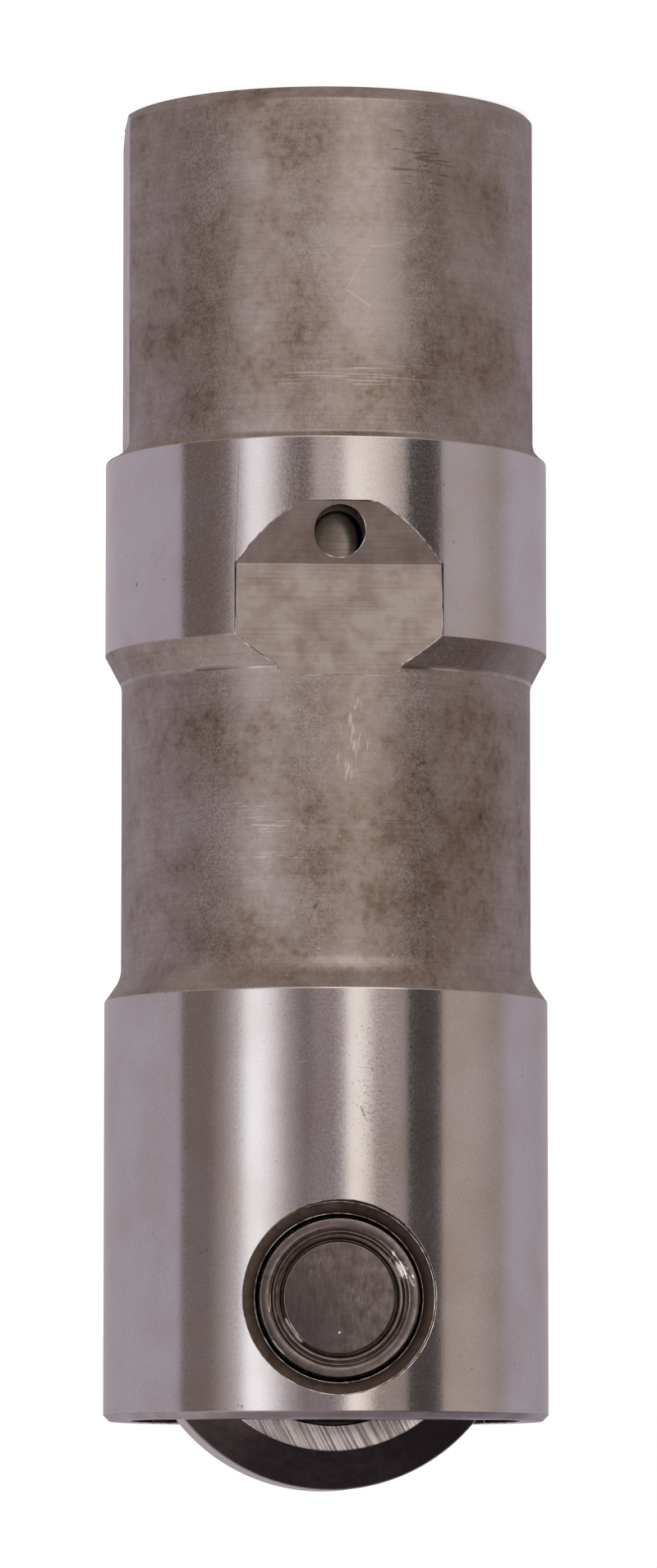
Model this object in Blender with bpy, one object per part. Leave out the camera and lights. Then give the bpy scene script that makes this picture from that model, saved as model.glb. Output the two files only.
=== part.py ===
"""Hydraulic roller valve lifter of an engine, as the separate pieces that it is assembled from.

It stands on its open end, the end that takes the pushrod, with +Z along its axis up to the roller.
The roller's axle lies along Y, the milled oil pocket faces -Y, and the neck's two flats face +X and -X.
Sizes are in metres, and the origin is the centre of the open end's face.
"""
import math

import bmesh
import bpy
from mathutils import Vector

MM = 0.001

# Body, turned from steel bar: two ground lands that run in the lifter bore, with a neck and a waist between
LAND_DIAMETER = 21.4 * MM
NECK_RELIEF = 0.2 * MM
WAIST_RELIEF = 0.8 * MM
NECK_LENGTH = 16.65 * MM
UPPER_LAND_LENGTH = 9.6 * MM
WAIST_LENGTH = 16.8 * MM
LOWER_LAND_LENGTH = 20.15 * MM
SHOULDER_EDGE = 0.25 * MM
OPEN_END_CHAMFER = 0.62 * MM
ROLLER_END_CHAMFER = 0.3 * MM
WAIST_FILLET = 1.6 * MM
TAPER_ANGLE = math.radians(28)
RAMP_ANGLE = math.radians(35)

# Flats that keep the lifter from turning in its bore
FLAT_DEPTH = 0.77 * MM
FLAT_BITE = 0.2 * MM
FLAT_FILLET = 0.6 * MM

# Plunger bore, open at the neck
WAIST_WALL = 1.8 * MM
BORE_MOUTH_CHAMFER = 0.6 * MM
BORE_FLOOR_CHAMFER = 0.5 * MM
ROLLER_WEB = 5.23 * MM

# Oil pocket milled into the upper land, and the feed hole drilled in its ramp
POCKET_FROM_SHOULDER = 3.33 * MM
POCKET_STEP = 0.13 * MM
POCKET_RAMP_LENGTH = 2.87 * MM
POCKET_DEPTH = 1.2 * MM
POCKET_RUN_OUT = 1.92 * MM
FEED_HOLE_DIAMETER = 2.4 * MM
FEED_HOLE_FROM_STEP = 1.37 * MM

# Roller, its needle bearing and its axle
AXLE_FROM_END = 5.63 * MM
AXLE_SHARE = 0.3365
AXLE_RECESS = 1.0 * MM
AXLE_FIT = 0.05 * MM
SWAGE_LIP = 0.2 * MM
SWAGE_EDGE = 0.12 * MM
SWAGE_FLAT = 0.3 * MM
SWAGE_GROOVE_WIDTH = 0.34 * MM
SWAGE_GROOVE_DEPTH = 0.16 * MM
SWAGE_RIDGE_WIDTH = 0.26 * MM
SWAGE_STEP_WIDTH = 0.24 * MM
SWAGE_DISC_DEPTH = 0.13 * MM
COUNTERBORE_STEP = 0.95 * MM
COUNTERBORE_DEPTH = 1.5 * MM
COUNTERSINK = 0.3 * MM
NEEDLE_SHARE = 0.2222
NEEDLE_PLAY = 0.05 * MM
NEEDLE_SPACING = 0.03 * MM
NEEDLE_END_ROUND = 0.2 * MM
ROLLER_WIDTH_SHARE = 0.4673
ROLLER_TREAD = 6.6 * MM
ROLLER_FACE_WIDTH = 1.18 * MM
ROLLER_MOUTH_STEP = 0.6 * MM
ROLLER_MOUTH_DEPTH = 0.5 * MM
ROLLER_SIDE_PLAY = 0.15 * MM
ROLLER_TOP_PLAY = 0.4 * MM
ROLLER_SWEEP_PLAY = 0.07 * MM
CHEEK_WALL = 1.1 * MM

# Retaining ring, pushrod seat and metering disc in the bore's mouth
RING_FROM_END = 3.0 * MM
RING_WIRE = 1.1 * MM
RING_GROOVE_DEPTH = 0.75 * MM
RING_PLAY = 0.1 * MM
RING_OPENING = math.radians(28)
STACK_GAP = 0.1 * MM
SEAT_LENGTH = 6.8 * MM
SEAT_EDGE = 0.4 * MM
SOCKET_RADIUS = 4.0 * MM
SOCKET_STRAIGHT = 1.0 * MM
SOCKET_CHAMFER = 0.6 * MM
SEAT_HOLE_DIAMETER = 1.4 * MM
DISC_DIAMETER = 8.0 * MM
DISC_THICKNESS = 0.4 * MM
DISC_PLAY = 0.2 * MM

# Plunger, its check valve and its return spring
PLUNGER_CLEARANCE = 0.08 * MM
PLUNGER_WALL = 2.2 * MM
PLUNGER_FLOOR = 3.6 * MM
PLUNGER_EDGE = 0.4 * MM
PLUNGER_TRAVEL = 4.2 * MM
TRAVEL_MARGIN = 0.5 * MM
OIL_GROOVE_DEPTH = 0.6 * MM
OIL_GROOVE_MARGIN = 0.6 * MM
PLUNGER_HOLE_DIAMETER = 2.0 * MM
BALL_DIAMETER = 4.0 * MM
BALL_SEAT_RADIUS = 1.45 * MM
BALL_SEAT_CHAMFER = 0.35 * MM
BALL_GAP = 0.05 * MM
CAGE_SHEET = 0.5 * MM
CAGE_HEIGHT = 4.9 * MM
CAGE_BALL_PLAY = 0.8 * MM
CAGE_HOLE_DIAMETER = 1.2 * MM
CAGE_WINDOW = 1.6 * MM
CHECK_WIRE = 0.28 * MM
CHECK_SPRING_RADIUS = 1.1 * MM
CHECK_TURNS = 2.5
SPRING_WIRE = 1.0 * MM
SPRING_TURNS = 4.25
SPRING_FROM_WALL = 1.3 * MM
SPRING_GAP = 0.1 * MM

# How finely the round shapes are divided
BODY_SEGMENTS = 64
SEAT_SEGMENTS = 48
RING_STEPS = 32
PIN_SEGMENTS = 40
SMALL_SEGMENTS = 32
HOLE_SEGMENTS = 24
NEEDLE_SEGMENTS = 10
ROOF_STEPS = 28
FILLET_STEPS = 3
SPRING_STEPS = 20
CHECK_SPRING_STEPS = 14
ARC_STEPS = 6
CUTTER_REACH = 2.0 * MM
MERGE_DISTANCE = 1e-7

# Radii and heights that follow from the driving sizes
LAND_RADIUS = LAND_DIAMETER / 2
NECK_RADIUS = LAND_RADIUS - NECK_RELIEF
WAIST_RADIUS = LAND_RADIUS - WAIST_RELIEF
FLAT_X = NECK_RADIUS - FLAT_DEPTH
BORE_RADIUS = WAIST_RADIUS - WAIST_WALL
SHOULDER_Z = NECK_LENGTH
UPPER_LAND_END_Z = SHOULDER_Z + UPPER_LAND_LENGTH
WAIST_END_Z = UPPER_LAND_END_Z + WAIST_LENGTH
BODY_TOP_Z = WAIST_END_Z + LOWER_LAND_LENGTH
AXLE_Z = BODY_TOP_Z - AXLE_FROM_END
FEED_HOLE_Z = SHOULDER_Z + POCKET_FROM_SHOULDER + FEED_HOLE_FROM_STEP

# The bearing follows the body: its axle and width are shares of the land, and its needles of the axle
AXLE_RADIUS = AXLE_SHARE * LAND_RADIUS
NEEDLE_RADIUS = NEEDLE_SHARE * AXLE_RADIUS
COUNTERBORE_RADIUS = AXLE_RADIUS + COUNTERBORE_STEP
ROLLER_HALF_WIDTH = ROLLER_WIDTH_SHARE * LAND_RADIUS
NEEDLE_PITCH_RADIUS = AXLE_RADIUS + NEEDLE_PLAY + NEEDLE_RADIUS
ROLLER_BORE_RADIUS = NEEDLE_PITCH_RADIUS + NEEDLE_RADIUS + NEEDLE_PLAY
NEEDLE_STEP_ANGLE = 2 * math.asin((NEEDLE_RADIUS + NEEDLE_SPACING / 2) / NEEDLE_PITCH_RADIUS)
NEEDLE_COUNT = int(2 * math.pi / NEEDLE_STEP_ANGLE)
CHEEK_RADIUS = LAND_RADIUS - CHEEK_WALL
ROLLER_RADIUS = math.sqrt((CHEEK_RADIUS - ROLLER_SWEEP_PLAY) ** 2 - (ROLLER_TREAD / 2) ** 2)
ROLLER_MOUTH_RADIUS = ROLLER_BORE_RADIUS + ROLLER_MOUTH_STEP
ROLLER_FACE_RADIUS = ROLLER_MOUTH_RADIUS + ROLLER_FACE_WIDTH
ROLLER_POCKET_RADIUS = ROLLER_RADIUS + ROLLER_TOP_PLAY
ROLLER_POCKET_HALF_WIDTH = ROLLER_HALF_WIDTH + ROLLER_SIDE_PLAY
BORE_FLOOR_Z = AXLE_Z - ROLLER_POCKET_RADIUS - ROLLER_WEB

RING_GROOVE_RADIUS = BORE_RADIUS + RING_GROOVE_DEPTH
RING_RADIUS = RING_GROOVE_RADIUS - RING_PLAY - RING_WIRE / 2
SEAT_Z = RING_FROM_END + RING_WIRE + STACK_GAP
PLUNGER_RADIUS = BORE_RADIUS - PLUNGER_CLEARANCE
PLUNGER_START_Z = SEAT_Z + SEAT_LENGTH + STACK_GAP
PLUNGER_END_Z = BORE_FLOOR_Z - TRAVEL_MARGIN - PLUNGER_TRAVEL - CAGE_HEIGHT - STACK_GAP
RESERVOIR_RADIUS = PLUNGER_RADIUS - PLUNGER_WALL
DISC_POCKET_DEPTH = DISC_THICKNESS + 2 * DISC_PLAY
BALL_RADIUS = BALL_DIAMETER / 2
BALL_Z = (
    PLUNGER_END_Z - BALL_SEAT_CHAMFER + BALL_GAP + math.sqrt(BALL_RADIUS ** 2 - BALL_SEAT_RADIUS ** 2)
)
CAGE_Z = PLUNGER_END_Z + STACK_GAP
CAGE_INNER_RADIUS = BALL_RADIUS + CAGE_BALL_PLAY
SPRING_RADIUS = BORE_RADIUS - SPRING_FROM_WALL - SPRING_WIRE / 2
CAGE_FLANGE_RADIUS = SPRING_RADIUS + SPRING_WIRE / 2


def clear_scene():
    """Remove every object, so that the model starts in an empty scene."""
    for old in list(bpy.data.objects):
        bpy.data.objects.remove(old, do_unlink=True)


def finish(name, colour, roughness, metallic=1.0):
    """Return a Principled material of one colour."""
    made = bpy.data.materials.new(name)
    made.use_nodes = True
    shader = made.node_tree.nodes["Principled BSDF"]
    shader.inputs["Base Color"].default_value = (*colour, 1.0)
    shader.inputs["Roughness"].default_value = roughness
    shader.inputs["Metallic"].default_value = metallic
    return made


def add_object(name, data, material):
    """Put a mesh or a curve into the scene as one named object."""
    made = bpy.data.objects.new(name, data)
    bpy.context.scene.collection.objects.link(made)
    if material is not None:
        data.materials.clear()
        data.materials.append(material)
    return made


def arc(centre_r, centre_z, radius, start, end, steps=ARC_STEPS):
    """Points along an arc in the (r, z) half plane, with angles from the +r direction towards +z."""
    points = []
    for step in range(steps + 1):
        angle = start + (end - start) * step / steps
        points.append((centre_r + radius * math.cos(angle), centre_z + radius * math.sin(angle)))
    return points


def turned_mesh(name, outline, segments):
    """Spin a closed (r, z) outline once round the Z axis."""
    shape = bmesh.new()
    corners = [shape.verts.new((r, 0.0, z)) for r, z in outline]
    edges = [shape.edges.new((a, b)) for a, b in zip(corners, corners[1:] + corners[:1])]
    bmesh.ops.spin(
        shape, geom=corners + edges, cent=(0, 0, 0), axis=(0, 0, 1), dvec=(0, 0, 0),
        angle=2 * math.pi, steps=segments, use_merge=True, use_duplicate=False,
    )
    bmesh.ops.remove_doubles(shape, verts=shape.verts, dist=MERGE_DISTANCE)
    bmesh.ops.dissolve_degenerate(shape, edges=shape.edges, dist=MERGE_DISTANCE)
    loose = [edge for edge in shape.edges if not edge.link_faces]
    bmesh.ops.delete(shape, geom=loose, context="EDGES")
    bmesh.ops.recalc_face_normals(shape, faces=shape.faces)
    return finished_mesh(name, shape)


def finished_mesh(name, shape):
    """Turn a bmesh into a mesh that is shaded smooth, with its real edges kept sharp."""
    mesh = bpy.data.meshes.new(name)
    shape.to_mesh(mesh)
    shape.free()
    mesh.shade_smooth()
    mesh.set_sharp_from_angle(angle=math.radians(25))
    return mesh


def turned(name, outline, segments, material=None, at_z=0.0, along_y=False):
    """A turned piece whose outline is measured from at_z, with its axis along Z or laid along Y."""
    made = add_object(name, turned_mesh(name, outline, segments), material)
    made.location = (0.0, 0.0, at_z)
    if along_y:
        made.rotation_euler = (-math.pi / 2, 0.0, 0.0)
    return made


def extruded(name, outline, start, end, along, material=None):
    """A prism: an outline in the plane across the axis named by along, extruded from start to end."""
    place = {
        "X": lambda u, v, w: (w, u, v),
        "Y": lambda u, v, w: (u, w, v),
        "Z": lambda u, v, w: (u, v, w),
    }[along]
    shape = bmesh.new()
    base = shape.faces.new([shape.verts.new(place(u, v, start)) for u, v in outline])
    grown = bmesh.ops.extrude_face_region(shape, geom=[base])["geom"]
    moved = [item for item in grown if isinstance(item, bmesh.types.BMVert)]
    bmesh.ops.translate(shape, verts=moved, vec=Vector(place(0.0, 0.0, end - start)))
    bmesh.ops.recalc_face_normals(shape, faces=shape.faces)
    return add_object(name, finished_mesh(name, shape), material)


def cut(target, tool, operation="DIFFERENCE"):
    """Cut the target with the tool by a live Boolean, and keep the tool out of the model."""
    tool.hide_render = True
    tool.display_type = "WIRE"
    step = target.modifiers.new(tool.name, "BOOLEAN")
    step.operation = operation
    step.solver = "EXACT"
    step.object = tool


def wire(name, points, wire_diameter, sides_level, material):
    """Round wire that follows a list of points, with closed ends."""
    curve = bpy.data.curves.new(name, "CURVE")
    curve.dimensions = "3D"
    curve.bevel_depth = wire_diameter / 2
    curve.bevel_resolution = sides_level
    curve.use_fill_caps = True
    line = curve.splines.new("POLY")
    line.points.add(len(points) - 1)
    for point, place in zip(line.points, points):
        point.co = (*place, 1.0)
    return add_object(name, curve, material)


def coil_points(radius, start_z, end_z, turns, closed_pitch, steps_per_turn):
    """Points of a coil spring whose first and last turn lie closed, a wire's width apart."""
    steps = int(round(turns * steps_per_turn))
    active_turns = turns - 2
    active_pitch = (end_z - start_z - 2 * closed_pitch) / active_turns if active_turns > 0 else 0.0
    points = []
    for step in range(steps + 1):
        turn = turns * step / steps
        from_end = turns - turn
        if active_turns <= 0:
            height = start_z + (end_z - start_z) * turn / turns
        elif turn < 1:
            height = start_z + closed_pitch * turn
        elif from_end < 1:
            height = end_z - closed_pitch * from_end
        else:
            height = start_z + closed_pitch + active_pitch * (turn - 1)
        angle = 2 * math.pi * turn
        points.append((radius * math.cos(angle), radius * math.sin(angle), height))
    return points


def body_outline():
    """Half section of the body: along the bore from its floor to its mouth, then back along the outside."""
    groove_end = RING_FROM_END + RING_WIRE + RING_PLAY
    taper_length = WAIST_RELIEF / math.tan(TAPER_ANGLE)
    fillet_rise = WAIST_FILLET * (1 - math.cos(RAMP_ANGLE))
    ramp_length = (WAIST_RELIEF - fillet_rise) / math.tan(RAMP_ANGLE)
    fillet_start_z = WAIST_END_Z - ramp_length - WAIST_FILLET * math.sin(RAMP_ANGLE)
    outline = [
        (0.0, BORE_FLOOR_Z),
        (BORE_RADIUS - BORE_FLOOR_CHAMFER, BORE_FLOOR_Z),
        (BORE_RADIUS, BORE_FLOOR_Z - BORE_FLOOR_CHAMFER),
        (BORE_RADIUS, groove_end),
        (RING_GROOVE_RADIUS, groove_end),
        (RING_GROOVE_RADIUS, RING_FROM_END - RING_PLAY),
        (BORE_RADIUS, RING_FROM_END - RING_PLAY),
        (BORE_RADIUS, BORE_MOUTH_CHAMFER),
        (BORE_RADIUS + BORE_MOUTH_CHAMFER, 0.0),
        (NECK_RADIUS - OPEN_END_CHAMFER, 0.0),
        (NECK_RADIUS, OPEN_END_CHAMFER),
        (NECK_RADIUS, SHOULDER_Z),
        (LAND_RADIUS, SHOULDER_Z + SHOULDER_EDGE),
        (LAND_RADIUS, UPPER_LAND_END_Z),
        (WAIST_RADIUS, UPPER_LAND_END_Z + taper_length),
    ]
    outline += arc(
        WAIST_RADIUS + WAIST_FILLET, fillet_start_z, WAIST_FILLET, math.pi, math.pi - RAMP_ANGLE,
        steps=FILLET_STEPS,
    )
    outline += [
        (LAND_RADIUS, WAIST_END_Z),
        (LAND_RADIUS, BODY_TOP_Z - ROLLER_END_CHAMFER),
        (LAND_RADIUS - ROLLER_END_CHAMFER, BODY_TOP_Z),
        (0.0, BODY_TOP_Z),
    ]
    return outline


def flat_cutter(name, side):
    """Milling cutter for one flat: it leaves a small fillet where it runs out into the shoulder."""
    end_z = SHOULDER_Z + FLAT_BITE
    outer_x = NECK_RADIUS + CUTTER_REACH
    corner = arc(
        FLAT_X + FLAT_FILLET, end_z - FLAT_FILLET, FLAT_FILLET,
        math.pi, math.pi / 2, steps=FILLET_STEPS,
    )
    outline = [(side * x, z) for x, z in corner]
    outline += [(side * outer_x, end_z), (side * outer_x, -CUTTER_REACH), (side * FLAT_X, -CUTTER_REACH)]
    return extruded(name, outline, -LAND_RADIUS, LAND_RADIUS, "Y")


def oil_pocket_cutter():
    """Milling cutter for the oil pocket: a step, a ramp, and a flat floor that runs out over the waist."""
    step_z = SHOULDER_Z + POCKET_FROM_SHOULDER
    floor_z = step_z + POCKET_RAMP_LENGTH
    outer_y = -LAND_RADIUS - CUTTER_REACH
    outline = [
        (outer_y, step_z),
        (-LAND_RADIUS + POCKET_STEP, step_z),
        (-LAND_RADIUS + POCKET_DEPTH, floor_z),
        (-LAND_RADIUS + POCKET_DEPTH, UPPER_LAND_END_Z + POCKET_RUN_OUT),
        (outer_y, UPPER_LAND_END_Z + POCKET_RUN_OUT),
    ]
    return extruded("oil_pocket_cutter", outline, -LAND_RADIUS, LAND_RADIUS, "X")


def roller_pocket_cutter():
    """The roller's pocket: a slot with a round roof, kept inside the body's thin side cheeks."""
    outline = arc(0.0, AXLE_Z, ROLLER_POCKET_RADIUS, math.pi, 2 * math.pi, steps=ROOF_STEPS)
    outline += [(side * ROLLER_POCKET_RADIUS, BODY_TOP_Z + CUTTER_REACH) for side in (1, -1)]
    half_width = ROLLER_POCKET_HALF_WIDTH
    slot = extruded("roller_pocket_cutter", outline, -half_width, half_width, "Y")
    core = turned(
        "cheek_cutter",
        [
            (0.0, BORE_FLOOR_Z), (CHEEK_RADIUS, BORE_FLOOR_Z),
            (CHEEK_RADIUS, BODY_TOP_Z + 2 * CUTTER_REACH), (0.0, BODY_TOP_Z + 2 * CUTTER_REACH),
        ],
        BODY_SEGMENTS,
    )
    cut(slot, core, "INTERSECT")
    return slot


def axle_bore_cutter():
    """The cross bore for the axle, countersunk for its swaged lip and counterbored at both ends."""
    floor = LAND_RADIUS - COUNTERBORE_DEPTH
    hole = AXLE_RADIUS + AXLE_FIT
    reach = LAND_RADIUS + CUTTER_REACH
    upper = [
        (hole, floor - COUNTERSINK),
        (hole + COUNTERSINK, floor),
        (COUNTERBORE_RADIUS, floor),
        (COUNTERBORE_RADIUS, reach),
        (0.0, reach),
    ]
    lower = [(r, -z) for r, z in reversed(upper)]
    return turned("axle_bore_cutter", lower + upper, PIN_SEGMENTS, at_z=AXLE_Z, along_y=True)


def feed_hole_cutter():
    """Drill for the oil feed hole, from the pocket's ramp into the plunger bore."""
    radius = FEED_HOLE_DIAMETER / 2
    inner = BORE_RADIUS - radius
    outer = LAND_RADIUS + CUTTER_REACH
    outline = [(0.0, -outer), (radius, -outer), (radius, -inner), (0.0, -inner)]
    return turned("feed_hole_cutter", outline, HOLE_SEGMENTS, at_z=FEED_HOLE_Z, along_y=True)


def make_body():
    steel = finish("ground_steel", (0.42, 0.40, 0.39), 0.32)
    body = turned("lifter_body", body_outline(), BODY_SEGMENTS, steel)
    cut(body, flat_cutter("flat_cutter_right", 1))
    cut(body, flat_cutter("flat_cutter_left", -1))
    cut(body, oil_pocket_cutter())
    cut(body, feed_hole_cutter())
    cut(body, roller_pocket_cutter())
    cut(body, axle_bore_cutter())


def make_axle():
    """The roller's axle, whose ends are swaged outwards into the body's countersinks."""
    end = LAND_RADIUS - AXLE_RECESS
    floor = LAND_RADIUS - COUNTERBORE_DEPTH
    lip = AXLE_RADIUS + SWAGE_LIP
    groove_outer = lip - SWAGE_FLAT
    groove_inner = groove_outer - SWAGE_GROOVE_WIDTH
    ridge_inner = groove_inner - SWAGE_RIDGE_WIDTH
    upper = [
        (AXLE_RADIUS, floor - COUNTERSINK),
        (lip, floor + AXLE_FIT),
        (lip, end - SWAGE_EDGE),
        (lip - SWAGE_EDGE, end),
        (groove_outer, end),
        ((groove_outer + groove_inner) / 2, end - SWAGE_GROOVE_DEPTH),
        (groove_inner, end),
        (ridge_inner, end),
        (ridge_inner - SWAGE_STEP_WIDTH, end - SWAGE_DISC_DEPTH),
        (0.0, end - SWAGE_DISC_DEPTH),
    ]
    lower = [(r, -z) for r, z in reversed(upper)]
    turned(
        "roller_axle", lower + upper, PIN_SEGMENTS, finish("axle_steel", (0.13, 0.12, 0.115), 0.38),
        at_z=AXLE_Z, along_y=True,
    )


def make_roller():
    """The cam roller: a ring with a short tread between two wide cones, ground flat round its bore."""
    half_tread = ROLLER_TREAD / 2
    half_width = ROLLER_HALF_WIDTH
    upper = [
        (ROLLER_RADIUS, half_tread),
        (ROLLER_FACE_RADIUS, half_width),
        (ROLLER_MOUTH_RADIUS, half_width),
        (ROLLER_MOUTH_RADIUS, half_width - ROLLER_MOUTH_DEPTH),
        (ROLLER_BORE_RADIUS, half_width - ROLLER_MOUTH_DEPTH),
    ]
    lower = [(r, -z) for r, z in reversed(upper)]
    turned(
        "cam_roller", lower + upper, BODY_SEGMENTS, finish("roller_steel", (0.34, 0.33, 0.33), 0.2),
        at_z=AXLE_Z, along_y=True,
    )


def make_needles():
    """A full row of needle rollers between the axle and the roller, set round one axis."""
    half = ROLLER_HALF_WIDTH - ROLLER_MOUTH_DEPTH
    shank = NEEDLE_RADIUS - NEEDLE_END_ROUND
    outline = [
        (0.0, -half), (shank, -half), (NEEDLE_RADIUS, -half + NEEDLE_END_ROUND),
        (NEEDLE_RADIUS, half - NEEDLE_END_ROUND), (shank, half), (0.0, half),
    ]
    mesh = turned_mesh("needle", outline, NEEDLE_SEGMENTS)
    steel = finish("needle_steel", (0.5, 0.5, 0.5), 0.15)
    hub = bpy.data.objects.new("needle_orbit_axis", None)
    bpy.context.scene.collection.objects.link(hub)
    hub.location = (0.0, 0.0, AXLE_Z)
    hub.rotation_euler = (-math.pi / 2, 0.0, 0.0)
    for index in range(NEEDLE_COUNT):
        angle = 2 * math.pi * index / NEEDLE_COUNT
        needle = add_object(f"needle_{index + 1:02d}", mesh, steel)
        needle.parent = hub
        across, up = NEEDLE_PITCH_RADIUS * math.cos(angle), NEEDLE_PITCH_RADIUS * math.sin(angle)
        needle.location = (across, up, 0.0)


def make_retaining_ring():
    """Round-wire snap ring, open on the +Y side, that holds the pushrod seat in the bore."""
    centre_z = RING_FROM_END + RING_WIRE / 2
    start = math.pi / 2 + RING_OPENING / 2
    sweep = 2 * math.pi - RING_OPENING
    points = []
    for step in range(RING_STEPS + 1):
        angle = start + sweep * step / RING_STEPS
        points.append((RING_RADIUS * math.cos(angle), RING_RADIUS * math.sin(angle), centre_z))
    wire("retaining_ring", points, RING_WIRE, 2, finish("ring_steel", (0.2, 0.19, 0.18), 0.35))


def make_pushrod_seat():
    """The cup that the pushrod's ball end turns in, with an oil hole and a pocket for the metering disc."""
    hole = SEAT_HOLE_DIAMETER / 2
    disc_pocket_radius = DISC_DIAMETER / 2 + DISC_PLAY
    disc_pocket_z = SEAT_LENGTH - DISC_POCKET_DEPTH
    outline = [
        (PLUNGER_RADIUS - SEAT_EDGE, 0.0),
        (PLUNGER_RADIUS, SEAT_EDGE),
        (PLUNGER_RADIUS, SEAT_LENGTH - SEAT_EDGE),
        (PLUNGER_RADIUS - SEAT_EDGE, SEAT_LENGTH),
        (disc_pocket_radius, SEAT_LENGTH),
        (disc_pocket_radius, disc_pocket_z),
        (hole, disc_pocket_z),
    ]
    outline += arc(0.0, SOCKET_STRAIGHT, SOCKET_RADIUS, math.acos(hole / SOCKET_RADIUS), 0.0)
    outline += [(SOCKET_RADIUS, SOCKET_CHAMFER), (SOCKET_RADIUS + SOCKET_CHAMFER, 0.0)]
    turned(
        "pushrod_seat", outline, SEAT_SEGMENTS, finish("seat_steel", (0.3, 0.29, 0.28), 0.3), at_z=SEAT_Z
    )


def make_metering_disc():
    """Thin loose disc that meters the oil up through the pushrod."""
    radius = DISC_DIAMETER / 2
    outline = [(0.0, 0.0), (radius, 0.0), (radius, DISC_THICKNESS), (0.0, DISC_THICKNESS)]
    disc_z = SEAT_Z + SEAT_LENGTH - DISC_POCKET_DEPTH + DISC_PLAY
    steel = finish("disc_steel", (0.4, 0.4, 0.4), 0.25)
    turned("metering_disc", outline, SMALL_SEGMENTS, steel, at_z=disc_z)


def make_plunger():
    """Hollow plunger: an oil reservoir with a feed groove round it, and the check valve's seat on top."""
    groove_radius = PLUNGER_RADIUS - OIL_GROOVE_DEPTH
    groove_start = FEED_HOLE_Z - FEED_HOLE_DIAMETER / 2 - OIL_GROOVE_MARGIN - PLUNGER_TRAVEL
    groove_end = FEED_HOLE_Z + FEED_HOLE_DIAMETER / 2 + OIL_GROOVE_MARGIN
    reservoir_end = PLUNGER_END_Z - PLUNGER_FLOOR
    outline = [
        (RESERVOIR_RADIUS, PLUNGER_START_Z),
        (PLUNGER_RADIUS - PLUNGER_EDGE, PLUNGER_START_Z),
        (PLUNGER_RADIUS, PLUNGER_START_Z + PLUNGER_EDGE),
        (PLUNGER_RADIUS, groove_start),
        (groove_radius, groove_start + OIL_GROOVE_DEPTH),
        (groove_radius, groove_end - OIL_GROOVE_DEPTH),
        (PLUNGER_RADIUS, groove_end),
        (PLUNGER_RADIUS, PLUNGER_END_Z - PLUNGER_EDGE),
        (PLUNGER_RADIUS - PLUNGER_EDGE, PLUNGER_END_Z),
        (BALL_SEAT_RADIUS + BALL_SEAT_CHAMFER, PLUNGER_END_Z),
        (BALL_SEAT_RADIUS, PLUNGER_END_Z - BALL_SEAT_CHAMFER),
        (BALL_SEAT_RADIUS, reservoir_end),
        (RESERVOIR_RADIUS - PLUNGER_EDGE, reservoir_end),
        (RESERVOIR_RADIUS, reservoir_end - PLUNGER_EDGE),
    ]
    plunger = turned("plunger", outline, BODY_SEGMENTS, finish("plunger_steel", (0.45, 0.44, 0.43), 0.22))
    hole = PLUNGER_HOLE_DIAMETER / 2
    reach = PLUNGER_RADIUS + CUTTER_REACH
    drill = turned(
        "plunger_drill", [(0.0, -reach), (hole, -reach), (hole, reach), (0.0, reach)], HOLE_SEGMENTS // 2,
        at_z=(groove_start + groove_end) / 2,
    )
    drill.rotation_euler = (0.0, math.pi / 2, 0.0)
    cut(plunger, drill)


def make_check_valve():
    """Check ball, the light spring that closes it and the stamped cage that holds both on the plunger."""
    ball_shape = bmesh.new()
    bmesh.ops.create_icosphere(ball_shape, subdivisions=3, radius=BALL_RADIUS)
    ball_steel = finish("ball_steel", (0.6, 0.6, 0.6), 0.08)
    ball = add_object("check_ball", finished_mesh("check_ball", ball_shape), ball_steel)
    ball.location = (0.0, 0.0, BALL_Z)

    wall = CAGE_INNER_RADIUS + CAGE_SHEET
    crown_z = CAGE_HEIGHT - CAGE_SHEET
    hole = CAGE_HOLE_DIAMETER / 2
    outline = [
        (CAGE_INNER_RADIUS, 0.0), (CAGE_FLANGE_RADIUS, 0.0), (CAGE_FLANGE_RADIUS, CAGE_SHEET),
        (wall, CAGE_SHEET), (wall, CAGE_HEIGHT - CAGE_SHEET / 2), (wall - CAGE_SHEET / 2, CAGE_HEIGHT),
        (hole, CAGE_HEIGHT), (hole, crown_z), (CAGE_INNER_RADIUS, crown_z),
    ]
    cage = turned(
        "ball_retainer", outline, SMALL_SEGMENTS, finish("cage_steel", (0.35, 0.33, 0.3), 0.35), at_z=CAGE_Z
    )
    half_window = CAGE_WINDOW / 2
    window = [
        (-half_window, CAGE_Z + 2 * CAGE_SHEET), (half_window, CAGE_Z + 2 * CAGE_SHEET),
        (half_window, CAGE_Z + crown_z - CAGE_SHEET), (-half_window, CAGE_Z + crown_z - CAGE_SHEET),
    ]
    cut(cage, extruded("window_cutter_across", window, -CAGE_FLANGE_RADIUS, CAGE_FLANGE_RADIUS, "X"))
    cut(cage, extruded("window_cutter_along", window, -CAGE_FLANGE_RADIUS, CAGE_FLANGE_RADIUS, "Y"))

    wire_radius = CHECK_WIRE / 2
    touch = math.sqrt((BALL_RADIUS + wire_radius + BALL_GAP) ** 2 - CHECK_SPRING_RADIUS ** 2)
    points = coil_points(
        CHECK_SPRING_RADIUS, BALL_Z + touch, CAGE_Z + crown_z - wire_radius - BALL_GAP,
        CHECK_TURNS, CHECK_WIRE + BALL_GAP, CHECK_SPRING_STEPS,
    )
    wire("check_spring", points, CHECK_WIRE, 1, finish("spring_wire", (0.3, 0.3, 0.3), 0.3))


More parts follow.
